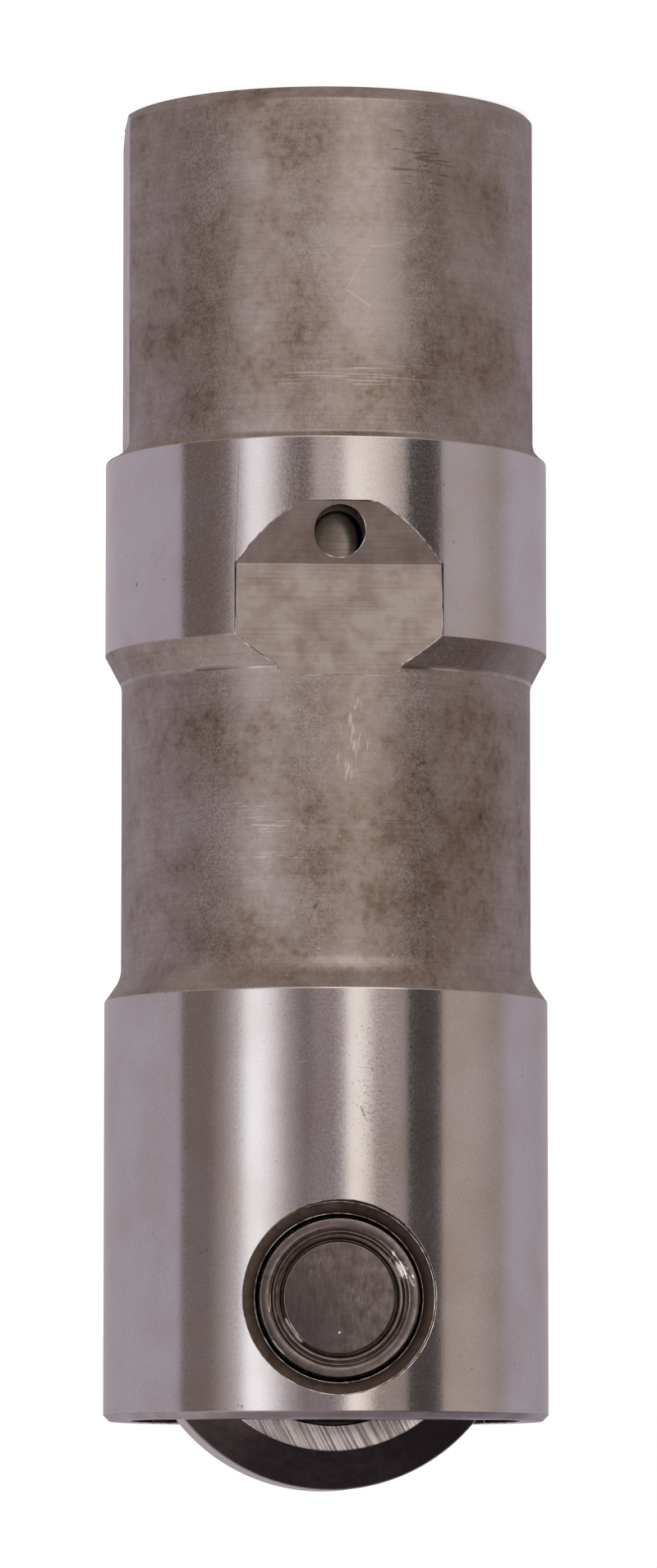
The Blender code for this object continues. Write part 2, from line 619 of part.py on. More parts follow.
def make_plunger_spring():
    """Return spring between the bore's floor and the cage's flange, which it also holds down."""
    wire_radius = SPRING_WIRE / 2
    points = coil_points(
        SPRING_RADIUS, CAGE_Z + CAGE_SHEET + wire_radius + SPRING_GAP,
        BORE_FLOOR_Z - wire_radius - SPRING_GAP, SPRING_TURNS, SPRING_WIRE + SPRING_GAP,
        SPRING_STEPS,
    )
    wire("plunger_spring", points, SPRING_WIRE, 2, finish("return_spring_wire", (0.22, 0.21, 0.2), 0.35))


clear_scene()
make_body()
make_axle()
make_roller()
make_needles()
make_retaining_ring()
make_pushrod_seat()
make_metering_disc()
make_plunger()
make_check_valve()
make_plunger_spring()
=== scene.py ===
import math

import bmesh
import bpy
from mathutils import Matrix, Vector


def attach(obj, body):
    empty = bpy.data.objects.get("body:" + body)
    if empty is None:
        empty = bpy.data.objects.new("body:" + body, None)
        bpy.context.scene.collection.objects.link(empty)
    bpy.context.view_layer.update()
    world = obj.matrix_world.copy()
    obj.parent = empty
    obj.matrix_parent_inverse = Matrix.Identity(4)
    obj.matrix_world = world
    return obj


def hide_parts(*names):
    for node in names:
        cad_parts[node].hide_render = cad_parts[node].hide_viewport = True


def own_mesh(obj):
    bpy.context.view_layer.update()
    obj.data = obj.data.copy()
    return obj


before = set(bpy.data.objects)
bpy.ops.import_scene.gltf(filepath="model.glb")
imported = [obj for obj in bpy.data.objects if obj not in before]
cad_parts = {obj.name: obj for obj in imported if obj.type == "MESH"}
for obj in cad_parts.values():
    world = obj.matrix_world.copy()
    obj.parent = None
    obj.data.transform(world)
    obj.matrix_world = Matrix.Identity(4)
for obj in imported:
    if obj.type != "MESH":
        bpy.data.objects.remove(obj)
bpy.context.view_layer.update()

# Camera
# The lifter stands on its open end and is seen through a long lens, from a little to one side of its
# front and a little above. The picture is turned half round, so the open end is at the top of it.
MM = 0.001
LENS = 180.5
SENSOR = 36.0
CAMERA_TURN = math.radians(3.8)
CAMERA_DISTANCE = 379.0 * MM
CAMERA_HEIGHT = 70.2 * MM
AIM_HEIGHT = 32.4 * MM
AIM_ASIDE = 0.127 * MM

photographer = bpy.data.cameras.new("long_lens")
photographer.lens = LENS
photographer.sensor_width = SENSOR
camera = bpy.data.objects.new("long_lens", photographer)
bpy.context.scene.collection.objects.link(camera)
aim = Vector((-AIM_ASIDE * math.cos(CAMERA_TURN), -AIM_ASIDE * math.sin(CAMERA_TURN), AIM_HEIGHT))
camera.location = (
    CAMERA_DISTANCE * math.sin(CAMERA_TURN), -CAMERA_DISTANCE * math.cos(CAMERA_TURN), CAMERA_HEIGHT
)
camera.rotation_mode = "QUATERNION"
half_turn = Matrix.Rotation(math.pi, 3, "Z").to_quaternion()
camera.rotation_quaternion = (aim - camera.location).to_track_quat("-Z", "Y") @ half_turn
bpy.context.scene.camera = camera
bpy.context.scene.view_settings.view_transform = "Standard"

# Light tent
# A white tent round the table, with strip lights and dark cards standing in it. Ground steel shows each
# of them as a band along the lifter, in about the colour given here. A row holds (degrees to the side of
# the camera, colour), and each row takes over from the one below it between two heights in degrees.
STEEL_REFLECTANCE = 0.6
TENT_COOL = "#978F97"
TENT_COOL_SHADE = "#8A8388"
TENT_COOL_SOFT = "#928B92"
TENT_WARM = "#958983"
TENT_WARM_SHADE = "#877D7A"
TENT_WARM_DARK = "#857A77"
TENT_SHADE = "#988F8F"
TENT_CENTRE = "#73686A"
TENT_CENTRE_LINE = "#62585A"
TENT_FRONT_LOW = "#978C89"
TENT_GAP = "#675C5B"
TENT_GAP_LOW = "#5A4F4E"
LEFT_STRIP = "#E6E5E8"
LEFT_STRIP_FADE = "#D1CBCD"
LEFT_STRIP_EDGE = "#AAA1A3"
LEFT_STRIP_LOW = "#DAD8DC"
LEFT_FADE_LOW = "#C0B9BB"
RIGHT_STRIP = "#DED6D1"
RIGHT_STRIP_FADE = "#C7BCB6"
RIGHT_STRIP_LOW = "#D6CDC8"
RIGHT_FADE_LOW = "#C3B9B3"
BLACK_CARD = "#423D3D"
BLACK_CARD_EDGE = "#524C4B"
BLACK_CARD_LOW = "#393434"
BLACK_EDGE_LOW = "#4A4443"
TENT_HIGH = "#9C918E"
TENT_HIGH_FRONT = "#867B77"
TENT_HIGH_RIGHT = "#564E50"
TENT_WINDOW = "#FFFFFF"
TENT_TOP = "#6A6366"
TENT_FLOOR = "#918782"
TABLE_FRONT = "#E4DAD3"
TABLE_LEFT = "#B9AEA8"
TABLE_SIDE = "#857C7A"
TENT_LEVEL = (
    (-180, TENT_COOL_SHADE), (-120, TENT_COOL_SOFT), (-81.5, TENT_COOL_SOFT), (-79.5, TENT_GAP),
    (-62, TENT_GAP), (-54, TENT_WARM_SHADE), (-46, LEFT_STRIP_EDGE), (-40, LEFT_STRIP), (-34, LEFT_STRIP),
    (-28, LEFT_STRIP_FADE), (-20, TENT_SHADE), (-12, TENT_CENTRE), (-10.4, TENT_CENTRE),
    (-9.6, TENT_CENTRE_LINE), (-8.8, TENT_CENTRE), (4, TENT_CENTRE), (9, TENT_SHADE),
    (12.5, RIGHT_STRIP), (17.5, RIGHT_STRIP),
    (21.5, RIGHT_STRIP_FADE), (26, TENT_WARM_DARK), (42, TENT_WARM_DARK), (43, BLACK_CARD), (55, BLACK_CARD),
    (61.6, BLACK_CARD_EDGE), (63.2, TENT_WARM), (82, TENT_WARM), (100, TENT_WARM_SHADE),
    (112, TENT_COOL_SOFT), (122, TENT_COOL_SOFT), (146, TENT_COOL_SHADE), (180, TENT_COOL_SHADE),
)
TENT_LOW = (
    (-180, TENT_COOL), (-81.5, TENT_COOL), (-79.5, TENT_GAP_LOW), (-60, TENT_GAP_LOW), (-52, TENT_GAP),
    (-45, LEFT_STRIP_EDGE), (-40, LEFT_STRIP_LOW), (-34, LEFT_STRIP_LOW), (-28, LEFT_FADE_LOW),
    (-21.5, TENT_WARM_DARK), (-16, TENT_GAP_LOW), (-8.5, TENT_GAP_LOW), (-5, TENT_FRONT_LOW),
    (7, TENT_FRONT_LOW), (12.5, RIGHT_STRIP_LOW), (17, RIGHT_STRIP_LOW), (28, RIGHT_FADE_LOW),
    (42, TENT_WARM_SHADE), (43, BLACK_CARD_LOW), (55, BLACK_CARD_LOW), (61.6, BLACK_EDGE_LOW),
    (63.2, TENT_SHADE), (82, TENT_SHADE), (100, TENT_WARM_SHADE), (116, TENT_COOL), (180, TENT_COOL_SHADE),
)
TENT_TABLE = (
    (-180, TENT_COOL_SHADE), (-80, TABLE_SIDE), (-50, TABLE_SIDE), (-35, TABLE_LEFT), (-8, TABLE_LEFT),
    (4, TABLE_FRONT), (42, TABLE_FRONT), (46, TABLE_SIDE), (90, TABLE_SIDE), (180, TENT_COOL_SHADE),
)
TENT_UPPER = (
    (-180, TENT_COOL_SHADE), (-90, TENT_HIGH), (-40, TENT_HIGH), (-15, TENT_HIGH_FRONT),
    (10, TENT_HIGH_FRONT), (40, TENT_HIGH_RIGHT), (100, TENT_HIGH_RIGHT), (180, TENT_COOL_SHADE),
)
TENT_WINDOWS = (
    (-180, TENT_COOL_SHADE), (-90, TENT_HIGH), (-65, TENT_HIGH), (-61, TENT_WINDOW), (-28, TENT_WINDOW),
    (-24, TENT_HIGH_FRONT), (10, TENT_HIGH_FRONT), (40, TENT_HIGH_RIGHT), (100, TENT_HIGH_RIGHT),
    (180, TENT_COOL_SHADE),
)
TENT_HEIGHTS = (
    (-52, -40, TENT_TABLE), (-14, -8.5, TENT_LOW), (-6.5, -4, TENT_LEVEL), (16, 27, TENT_UPPER),
    (35, 36.5, TENT_WINDOWS), (41, 42.5, TENT_UPPER), (54, 64, TENT_TOP),
)
BACKDROP = "#FFFFFF"


def linear(colour, alpha=1.0):
    """An sRGB hex colour as the linear values that Blender's nodes take."""
    parts = [int(colour[i:i + 2], 16) / 255 for i in (1, 3, 5)]
    return (*[c / 12.92 if c <= 0.04045 else ((c + 0.055) / 1.055) ** 2.4 for c in parts], alpha)


def add_node(tree, kind, inputs=None, stops=None, **settings):
    """Adds a shader node with its settings, its inputs as values or as sockets, and its ramp's stops."""
    made = tree.nodes.new(kind)
    for name, value in settings.items():
        setattr(made, name, value)
    for socket, value in (inputs or {}).items():
        if isinstance(value, bpy.types.NodeSocket):
            tree.links.new(value, made.inputs[socket])
        else:
            made.inputs[socket].default_value = value
    if stops:
        elements = made.color_ramp.elements
        while len(elements) < len(stops):
            elements.new(1.0)
        for element, (place, colour) in zip(elements, stops):
            element.position = place
        for element, (place, colour) in zip(elements, stops):
            element.color = linear(colour) if isinstance(colour, str) else (colour, colour, colour, 1.0)
    return made


world = bpy.data.worlds.new("light_tent")
world.use_nodes = True
bpy.context.scene.world = world
tent = world.node_tree
tent.nodes.clear()
look = add_node(tent, "ShaderNodeTexCoord").outputs["Generated"]
axes = add_node(tent, "ShaderNodeSeparateXYZ", {"Vector": look})
towards_right = add_node(tent, "ShaderNodeMath", {0: axes.outputs["X"], 1: -1.0}, operation="MULTIPLY")
towards_front = add_node(tent, "ShaderNodeMath", {0: axes.outputs["Y"], 1: -1.0}, operation="MULTIPLY")
bearing = add_node(
    tent, "ShaderNodeMath", {0: towards_right.outputs[0], 1: towards_front.outputs[0]}, operation="ARCTAN2"
)
round_share = add_node(
    tent, "ShaderNodeMath",
    {0: bearing.outputs[0], 1: 1 / (2 * math.pi), 2: 0.5 + CAMERA_TURN / (2 * math.pi)},
    operation="MULTIPLY_ADD",
)
climb = add_node(tent, "ShaderNodeMath", {0: axes.outputs["Z"]}, operation="ARCSINE")
tent_colour = add_node(tent, "ShaderNodeRGB").outputs[0]
tent_colour.default_value = linear(TENT_FLOOR)
for starts, ends, band in TENT_HEIGHTS:
    share = add_node(
        tent, "ShaderNodeMapRange",
        {"Value": climb.outputs[0], "From Min": math.radians(starts), "From Max": math.radians(ends)},
    )
    if isinstance(band, str):
        colour = linear(band)
    else:
        colour = add_node(
            tent, "ShaderNodeValToRGB", {"Fac": round_share.outputs[0]},
            stops=[(degrees / 360 + 0.5, tone) for degrees, tone in band],
        ).outputs["Color"]
    tent_colour = add_node(
        tent, "ShaderNodeMix", {"Factor": share.outputs[0], 6: tent_colour, 7: colour}, data_type="RGBA"
    ).outputs[2]
tent_light = add_node(
    tent, "ShaderNodeBackground", {"Color": tent_colour, "Strength": 1 / STEEL_REFLECTANCE}
)
backdrop = add_node(tent, "ShaderNodeBackground", {"Color": linear(BACKDROP)})
seen = add_node(tent, "ShaderNodeLightPath").outputs["Is Camera Ray"]
shown = add_node(
    tent, "ShaderNodeMixShader", {0: seen, 1: tent_light.outputs[0], 2: backdrop.outputs[0]}
)
add_node(tent, "ShaderNodeOutputWorld", {"Surface": shown.outputs[0]})

# Table
# A white table under a wide soft light from above, bright enough to run into the white behind it. The
# steel doesn't mirror it, as it would hide the tent's lower edge.
TABLE_SIZE = 4.0
TABLE_WHITE = "#F6F6F6"
TABLE_GLOW = 0.78
SOFTBOX_SIZE = 0.6
SOFTBOX_HEIGHT = 0.8
SOFTBOX_POWER = 2.2

table_paint = bpy.data.materials.new("matt_white_table")
table_paint.use_nodes = True
table_tree = table_paint.node_tree
table_tree.nodes.clear()
matt = add_node(table_tree, "ShaderNodeBsdfDiffuse", {"Color": linear(TABLE_WHITE)})
glow = add_node(table_tree, "ShaderNodeEmission", {"Color": linear(BACKDROP), "Strength": TABLE_GLOW})
both = add_node(table_tree, "ShaderNodeAddShader", {0: matt.outputs[0], 1: glow.outputs[0]})
add_node(table_tree, "ShaderNodeOutputMaterial", {"Surface": both.outputs[0]})

table_shape = bmesh.new()
bmesh.ops.create_grid(table_shape, x_segments=1, y_segments=1, size=TABLE_SIZE / 2)
table_mesh = bpy.data.meshes.new("table_top")
table_shape.to_mesh(table_mesh)
table_shape.free()
table_mesh.materials.append(table_paint)
table_top = bpy.data.objects.new("table_top", table_mesh)
bpy.context.scene.collection.objects.link(table_top)
table_top.visible_glossy = False

softbox_lamp = bpy.data.lights.new("softbox", "AREA")
softbox_lamp.size = SOFTBOX_SIZE
softbox_lamp.energy = SOFTBOX_POWER
softbox = bpy.data.objects.new("softbox", softbox_lamp)
softbox.location = (0.0, 0.0, SOFTBOX_HEIGHT)
softbox.visible_glossy = False
bpy.context.scene.collection.objects.link(softbox)

# Body
# One bar of hardened alloy steel. Its two lands are ground to run in the lifter bore, and the neck and
# waist keep their turned skin, stained by heat and oil. Two flats, an oil pocket with a feed hole, the
# roller's slot and a counterbored cross hole are cut into it, and the plunger bore is honed.
LAND_RADIUS = 10.7 * MM
NECK_RADIUS = 10.5 * MM
WAIST_RADIUS = 9.9 * MM
BORE_RADIUS = 8.1 * MM
SHOULDER_Z = 16.65 * MM
UPPER_LAND_END_Z = 26.25 * MM
TAPER_END_Z = UPPER_LAND_END_Z + 1.505 * MM
WAIST_END_Z = 43.05 * MM
BODY_TOP_Z = 63.2 * MM
SHOULDER_EDGE = 0.25 * MM
OPEN_END_CHAMFER = 0.62 * MM
ROLLER_END_CHAMFER = 0.3 * MM
WAIST_FILLET = 1.6 * MM
OPEN_END_ROUND = 0.12 * MM
SHOULDER_ROUND = 0.1 * MM
TAPER_ROUND = 0.22 * MM
RAMP_ANGLE = math.radians(35)
FLAT_X = 9.73 * MM
FLAT_END_Z = 16.85 * MM
FLAT_FILLET = 0.6 * MM
BORE_MOUTH_CHAMFER = 0.6 * MM
BORE_FLOOR_Z = 43.0 * MM
BORE_FLOOR_CHAMFER = 0.5 * MM
GROOVE_START_Z = 2.9 * MM
GROOVE_END_Z = 4.2 * MM
GROOVE_RADIUS = 8.85 * MM
POCKET_STEP_Z = 19.98 * MM
POCKET_STEP = 0.13 * MM
POCKET_FLOOR_Z = 22.85 * MM
POCKET_END_Z = 28.17 * MM
POCKET_DEPTH = 1.2 * MM
FEED_HOLE_RADIUS = 1.2 * MM
FEED_HOLE_Z = 21.35 * MM
AXLE_Z = 57.57 * MM
AXLE_HOLE_RADIUS = 3.65 * MM
COUNTERBORE_RADIUS = 4.55 * MM
COUNTERBORE_FLOOR = 9.2 * MM
COUNTERSINK = 0.3 * MM
ROLLER_SLOT_RADIUS = 9.34 * MM
ROLLER_SLOT_HALF_WIDTH = 5.15 * MM
CHEEK_RADIUS = 9.6 * MM
LATHE_STEPS = 288
DRILL_STEPS = 96
EDGE_BREAK = 0.05 * MM
CUT_EDGE_BREAK = 0.04 * MM
CORNER_STEPS = 5
FILLET_STEPS = 10
FLAT_STEPS = 8
SLOT_STEPS = 64
REACH = 2.0 * MM
TOUCHING = 1e-7
SAME_SURFACE = 0.01 * MM
BURNISHED_HALF_WIDTH = 0.09 * MM
SHARP_ANGLE = math.radians(20)
CUT_ANGLE = math.radians(24)


def turned(outline, steps, edge=EDGE_BREAK, at_z=0.0, along_y=False):
    """Lathe work: points of (radius, height) joined in turn, their corners rounded, spun round Z or Y.
    A point's third value is its own corner rounding."""
    shape = bmesh.new()
    corners = [shape.verts.new((point[0], 0.0, point[1])) for point in outline]
    for here, there in zip(corners, corners[1:]):
        shape.edges.new((here, there))
    if outline[0][0] > 0.0:
        shape.edges.new((corners[-1], corners[0]))
    for corner, point in zip(corners, outline):
        rounding = point[2] if len(point) > 2 else edge
        if point[0] > 0.0 and rounding > 0.0:
            bmesh.ops.bevel(
                shape, geom=[corner], offset=rounding, segments=CORNER_STEPS, profile=0.5,
                affect="VERTICES", material=-1,
            )
    bmesh.ops.spin(
        shape, geom=shape.verts[:] + shape.edges[:], axis=(0.0, 0.0, 1.0), cent=(0.0, 0.0, 0.0),
        angle=2 * math.pi, steps=steps, use_merge=True,
    )
    bmesh.ops.remove_doubles(shape, verts=shape.verts, dist=TOUCHING)
    bmesh.ops.recalc_face_normals(shape, faces=shape.faces)
    if along_y:
        bmesh.ops.rotate(shape, verts=shape.verts, matrix=Matrix.Rotation(-math.pi / 2, 3, "X"))
    bmesh.ops.translate(shape, verts=shape.verts, vec=(0.0, 0.0, at_z))
    return shape


def milled(outline, start, end, along):
    """A cutter's path: an outline of (across, height) drawn out from start to end along X or Y."""
    shape = bmesh.new()
    if along == "X":
        corners = [shape.verts.new((start, across, z)) for across, z in outline]
        travel = Vector((end - start, 0.0, 0.0))
    else:
        corners = [shape.verts.new((across, start, z)) for across, z in outline]
        travel = Vector((0.0, end - start, 0.0))
    grown = bmesh.ops.extrude_face_region(shape, geom=[shape.faces.new(corners)])["geom"]
    bmesh.ops.translate(shape, verts=[v for v in grown if isinstance(v, bmesh.types.BMVert)], vec=travel)
    bmesh.ops.recalc_face_normals(shape, faces=shape.faces)
    return shape


def loose_object(name, shape, *steels):
    """Makes a bmesh an object in the scene, with its materials in the order of its faces' numbers."""
    mesh = bpy.data.meshes.new(name)
    shape.to_mesh(mesh)
    shape.free()
    for steel in steels:
        mesh.materials.append(steel)
    made = bpy.data.objects.new(name, mesh)
    bpy.context.scene.collection.objects.link(made)
    return made


def cut(work, shape, steel, operation="DIFFERENCE"):
    """Takes a cutter's shape out of a piece. The faces it leaves are of the steel that is named."""
    tool = loose_object("cutter", shape, steel)
    taken = work.modifiers.new("cut", "BOOLEAN")
    taken.operation = operation
    taken.solver = "EXACT"
    taken.material_mode = "TRANSFER"
    taken.object = tool
    graph = bpy.context.evaluated_depsgraph_get()
    left = bpy.data.meshes.new_from_object(work.evaluated_get(graph), depsgraph=graph)
    work.modifiers.clear()
    work.data = left
    bpy.data.objects.remove(tool)


def broken_edges(work, angle=CUT_ANGLE, width=CUT_EDGE_BREAK, steel=-1):
    """Takes the sharpness off every edge that a cutter left, as tumbling does. steel is the number of the
    material that shows there, or -1 for that of the faces beside it."""
    shape = bmesh.new()
    shape.from_mesh(work.data)
    bmesh.ops.remove_doubles(shape, verts=shape.verts, dist=width / 4)
    bmesh.ops.dissolve_degenerate(shape, edges=shape.edges, dist=width / 8)
    sharp = [e for e in shape.edges if len(e.link_faces) == 2 and e.calc_face_angle(0.0) > angle]
    bmesh.ops.bevel(
        shape, geom=sharp, offset=width, segments=2, profile=0.5, affect="EDGES", material=steel,
        clamp_overlap=False,
    )
    shape.to_mesh(work.data)
    shape.free()


def finished(name, work, body, slot, *nodes, weighted=True):
    """Shades a piece smooth between its sharp edges and puts it on its CAD body, for its CAD nodes. With
    weighted, its large faces look flat and the narrow ones beside them take the bend."""
    work.name = work.data.name = name
    shape = bmesh.new()
    shape.from_mesh(work.data)
    for face in shape.faces:
        face.smooth = True
    for edge in shape.edges:
        edge.smooth = len(edge.link_faces) == 2 and edge.calc_face_angle(0.0) < SHARP_ANGLE
    shape.to_mesh(work.data)
    shape.free()
    if weighted:
        work.modifiers.new("weighted_normals", "WEIGHTED_NORMAL").keep_sharp = True
    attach(work, body)
    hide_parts(*nodes)
    return work


def steel_material(name):
    """A bare metal to build on: the material, its node tree, its shader and its object coordinates."""
    made = bpy.data.materials.new(name)
    made.use_nodes = True
    tree = made.node_tree
    tree.nodes.clear()
    shader = add_node(tree, "ShaderNodeBsdfPrincipled", {"Metallic": 1.0})
    add_node(tree, "ShaderNodeOutputMaterial", {"Surface": shader.outputs[0]})
    place = add_node(tree, "ShaderNodeTexCoord").outputs["Object"]
    return made, tree, shader, place


def streaks(tree, place, run, detail, turn=0.0):
    """Noise that runs as far along X, Y and Z as the three lengths in run, which turn turns round Y."""
    along = add_node(
        tree, "ShaderNodeMapping", {"Vector": place, "Rotation": (0.0, turn, 0.0), "Scale": run},
        vector_type="TEXTURE",
    )
    return add_node(
        tree, "ShaderNodeTexNoise", {"Vector": along.outputs[0], "Scale": 1.0, "Detail": detail}
    ).outputs["Fac"]


def shaded(tree, colour, pattern, shades, share):
    """Darkens and lightens a colour by a pattern, as far as share says. shades holds (pattern, light)."""
    light = add_node(tree, "ShaderNodeValToRGB", {"Fac": pattern}, stops=shades)
    return add_node(
        tree, "ShaderNodeMix", {"Factor": share, 6: colour, 7: light.outputs["Color"]},
        data_type="RGBA", blend_type="MULTIPLY",
    ).outputs[2]


def surfaced(tree, shader, colour, dulling, dull_range, roughness, relief, height):
    """Gives a steel its colour, a relief by one pattern and its roughness by another, which takes it from
    the first value of roughness to the second over dull_range."""
    dullness = add_node(
        tree, "ShaderNodeMapRange",
        {"Value": dulling, "From Min": dull_range[0], "From Max": dull_range[1],
         "To Min": roughness[0], "To Max": roughness[1]},
    )
    bumps = add_node(tree, "ShaderNodeBump", {"Height": relief, "Distance": height, "Strength": 1.0})
    tree.links.new(colour, shader.inputs["Base Color"])
    tree.links.new(dullness.outputs[0], shader.inputs["Roughness"])
    tree.links.new(bumps.outputs[0], shader.inputs["Normal"])


MARK_STARTS = 0.7
MARK_FULL = 0.8
PATCH_FADES = 0.8


def marked(tree, place, colour, patches):
    """Puts patches of marks over a colour. Each has its heart, its reach, how long its marks are along X, Y
    and Z, all in mm, their turn round Y, how much of the patch they fill, their strength and their tone."""
    for heart, reach, run, turn, fill, strength, tone in patches:
        patch = add_node(
            tree, "ShaderNodeMapping",
            {"Vector": place, "Location": [v * MM for v in heart], "Rotation": (0.0, turn, 0.0),
             "Scale": [v * MM for v in reach]},
            vector_type="TEXTURE",
        )
        away = add_node(
            tree, "ShaderNodeVectorMath", {0: patch.outputs[0]}, operation="LENGTH"
        ).outputs["Value"]
        near = add_node(
            tree, "ShaderNodeMapRange", {"Value": away, "From Min": 1.0, "From Max": 0.0, "To Max": fill}
        )
        inside = add_node(
            tree, "ShaderNodeMapRange",
            {"Value": away, "From Min": 1.0, "From Max": PATCH_FADES, "To Max": strength},
        )
        marks = streaks(tree, place, [v * MM for v in run], 1.0, turn)
        total = add_node(tree, "ShaderNodeMath", {0: marks, 1: near.outputs[0]}, operation="ADD")
        share = add_node(
            tree, "ShaderNodeMapRange",
            {"Value": total.outputs[0], "From Min": MARK_STARTS, "From Max": MARK_FULL,
             "To Max": inside.outputs[0]},
        )
        colour = add_node(
            tree, "ShaderNodeMix", {"Factor": share.outputs[0], 6: colour, 7: linear(tone)}, data_type="RGBA"
        ).outputs[2]
    return colour


# Centreless-ground steel: bright and even, with a fine sandy grain, faint lines round it from the wheel,
# a trace of warm staining, pinhead pits, a freckled patch and a few short scratches.
GROUND_CLEAN = "#D2CFD0"
GROUND_WORN = "#CAC4C0"
GROUND_PIT = "#7A706A"
GROUND_SCRATCH = "#F0EDEB"
GROUND_ROUGHNESS = (0.09, 0.17)
GROUND_DULLING = (0.3, 0.7)
GROUND_GRAIN = 0.11 * MM
GROUND_GRAIN_SHADES = ((0.0, 0.66), (0.5, 1.0), (1.0, 1.3))
GROUND_GRAIN_SHARE = 0.6
GROUND_CLOUD = 3.5 * MM
GROUND_STAINS = ((0.0, GROUND_CLEAN), (0.42, GROUND_CLEAN), (0.68, GROUND_WORN))
GROUND_LINE = 0.12 * MM
GROUND_LINE_RUN = 7.0 * MM
GROUND_PIT_SIZE = 0.55 * MM
GROUND_PIT_SHARES = ((0.0, 0.0), (0.73, 0.0), (0.82, 0.8))
GROUND_HEIGHT = 0.0011 * MM
GROUND_MARKS = (
    ((-1.4, -10.6, 48.0), (1.3, 2.5, 4.5), (0.16, 0.16, 0.1), 0.0, 0.15, 0.5, GROUND_PIT),
    ((-1.0, -10.65, 48.8), (0.13, 0.5, 0.55), (0.5, 0.5, 0.5), -0.4, 0.7, 0.55, GROUND_PIT),
    ((1.85, -10.54, 46.55), (0.1, 0.5, 0.45), (0.5, 0.5, 0.5), 1.35, 0.6, 0.5, GROUND_SCRATCH),
    ((-4.1, -9.88, 53.78), (0.12, 0.5, 0.42), (0.5, 0.5, 0.5), 0.65, 0.7, 0.5, GROUND_SCRATCH),
    ((-4.42, -9.74, 55.04), (0.12, 0.5, 0.5), (0.5, 0.5, 0.5), 0.65, 0.6, 0.45, GROUND_SCRATCH),
)

ground_steel, tree, shader, place = steel_material("centreless_ground_steel")
grain, cloud, pits = [
    add_node(
        tree, "ShaderNodeTexNoise", {"Vector": place, "Scale": 1 / size, "Detail": detail}
    ).outputs["Fac"]
    for size, detail in ((GROUND_GRAIN, 3.0), (GROUND_CLOUD, 5.0), (GROUND_PIT_SIZE, 2.0))
]
lines = streaks(tree, place, (GROUND_LINE_RUN, GROUND_LINE_RUN, GROUND_LINE), 3.0)
stained = add_node(tree, "ShaderNodeValToRGB", {"Fac": cloud}, stops=GROUND_STAINS).outputs["Color"]
grained = shaded(tree, stained, grain, GROUND_GRAIN_SHADES, GROUND_GRAIN_SHARE)
pitted = add_node(tree, "ShaderNodeValToRGB", {"Fac": pits}, stops=GROUND_PIT_SHARES).outputs["Color"]
with_pits = add_node(
    tree, "ShaderNodeMix", {"Factor": pitted, 6: grained, 7: linear(GROUND_PIT)}, data_type="RGBA"
).outputs[2]
relief = add_node(tree, "ShaderNodeMath", {0: lines, 1: grain}, operation="ADD").outputs[0]
surfaced(
    tree, shader, marked(tree, place, with_pits, GROUND_MARKS), grain, GROUND_DULLING, GROUND_ROUGHNESS,
    relief, GROUND_HEIGHT,
)

# Hardened turned steel: the skin is left as it came from the furnace and the oil, so it is duller than
# the lands, with brown clouds, dark freckles and pits, light flecks, hair scratches down to bright metal
# and rows of short dashes. The dashes round the waist are painted bright only where they catch the light,
# so they are partly a painted glint. SKIN_PATCHES holds (heart and reach in mm, how much browner the cloud
# is).
SKIN_CLEAN = "#BDB4B2"
SKIN_BROWN = "#9B8B7F"
SKIN_FRECKLE = "#75675E"
SKIN_PIT = "#4A3E37"
SKIN_SCUFF_AND_GLINT = "#E3DCD6"
SKIN_ROUGHNESS = (0.33, 0.5)
SKIN_DULLING = (0.35, 0.65)
SKIN_CLOUD = 3.6 * MM
SKIN_MOTTLE = 0.42 * MM
SKIN_MOTTLE_SHARE = 0.5
SKIN_STAINS = ((0.0, SKIN_CLEAN), (0.62, SKIN_CLEAN), (0.96, SKIN_BROWN), (1.0, SKIN_BROWN))
FRECKLE_STARTS = 1.12
FRECKLE_FULL = 1.34
FRECKLE_SHARE = 0.5
SKIN_LINE = 0.09 * MM
SKIN_LINE_RUN = 9.0 * MM
SKIN_LINE_SHADES = ((0.25, 0.82), (0.5, 1.0), (0.75, 1.12))
SKIN_LINE_SHARE = 0.55
SKIN_GRAIN = 0.1 * MM
SKIN_GRAIN_SHADES = ((0.2, 0.66), (0.5, 1.0), (0.8, 1.3))
SKIN_GRAIN_SHARE = 0.7
SKIN_HEIGHT = 0.0012 * MM
FLECK_CELL = 0.5 * MM
FLECK_CHANCE = 0.7
FLECK_REACH = 0.15
FLECK_EDGE = 0.08
FLECK_SHARE = 0.6
SCRATCH_WIDTH = 0.006
SCRATCH_SHARE = 0.4
SCRATCH_RUN = (2.4 * MM, 3.2 * MM, 6.5 * MM)
SCRATCH_TURN = (0.35, 0.25, 0.6)
SCRATCHED_BELOW = 0.5
SCRATCHED_FULLY = 0.4
SKIN_PATCHES = (
    ((6.6, -8.1, 10.0), 6.5, 0.13), ((1.5, -10.4, 12.5), 4.0, 0.06), ((-4.9, -9.3, 12.0), 2.6, 0.09),
    ((-7.5, -7.3, 12.8), 3.0, 0.12), ((-1.3, -10.4, 8.4), 4.6, -0.12), ((-7.2, -6.8, 35.0), 8.0, 0.17),
    ((-2.2, -9.6, 36.3), 4.2, 0.18), ((2.0, -9.7, 39.5), 3.6, 0.07), ((8.1, -5.7, 39.1), 3.4, 0.1),
    ((-7.1, -6.9, 39.1), 3.0, 0.06), ((6.5, -7.5, 31.2), 2.0, 0.12), ((3.7, -9.1, 30.2), 1.3, 0.1),
    ((7.0, -7.0, 28.6), 1.8, 0.1),
)
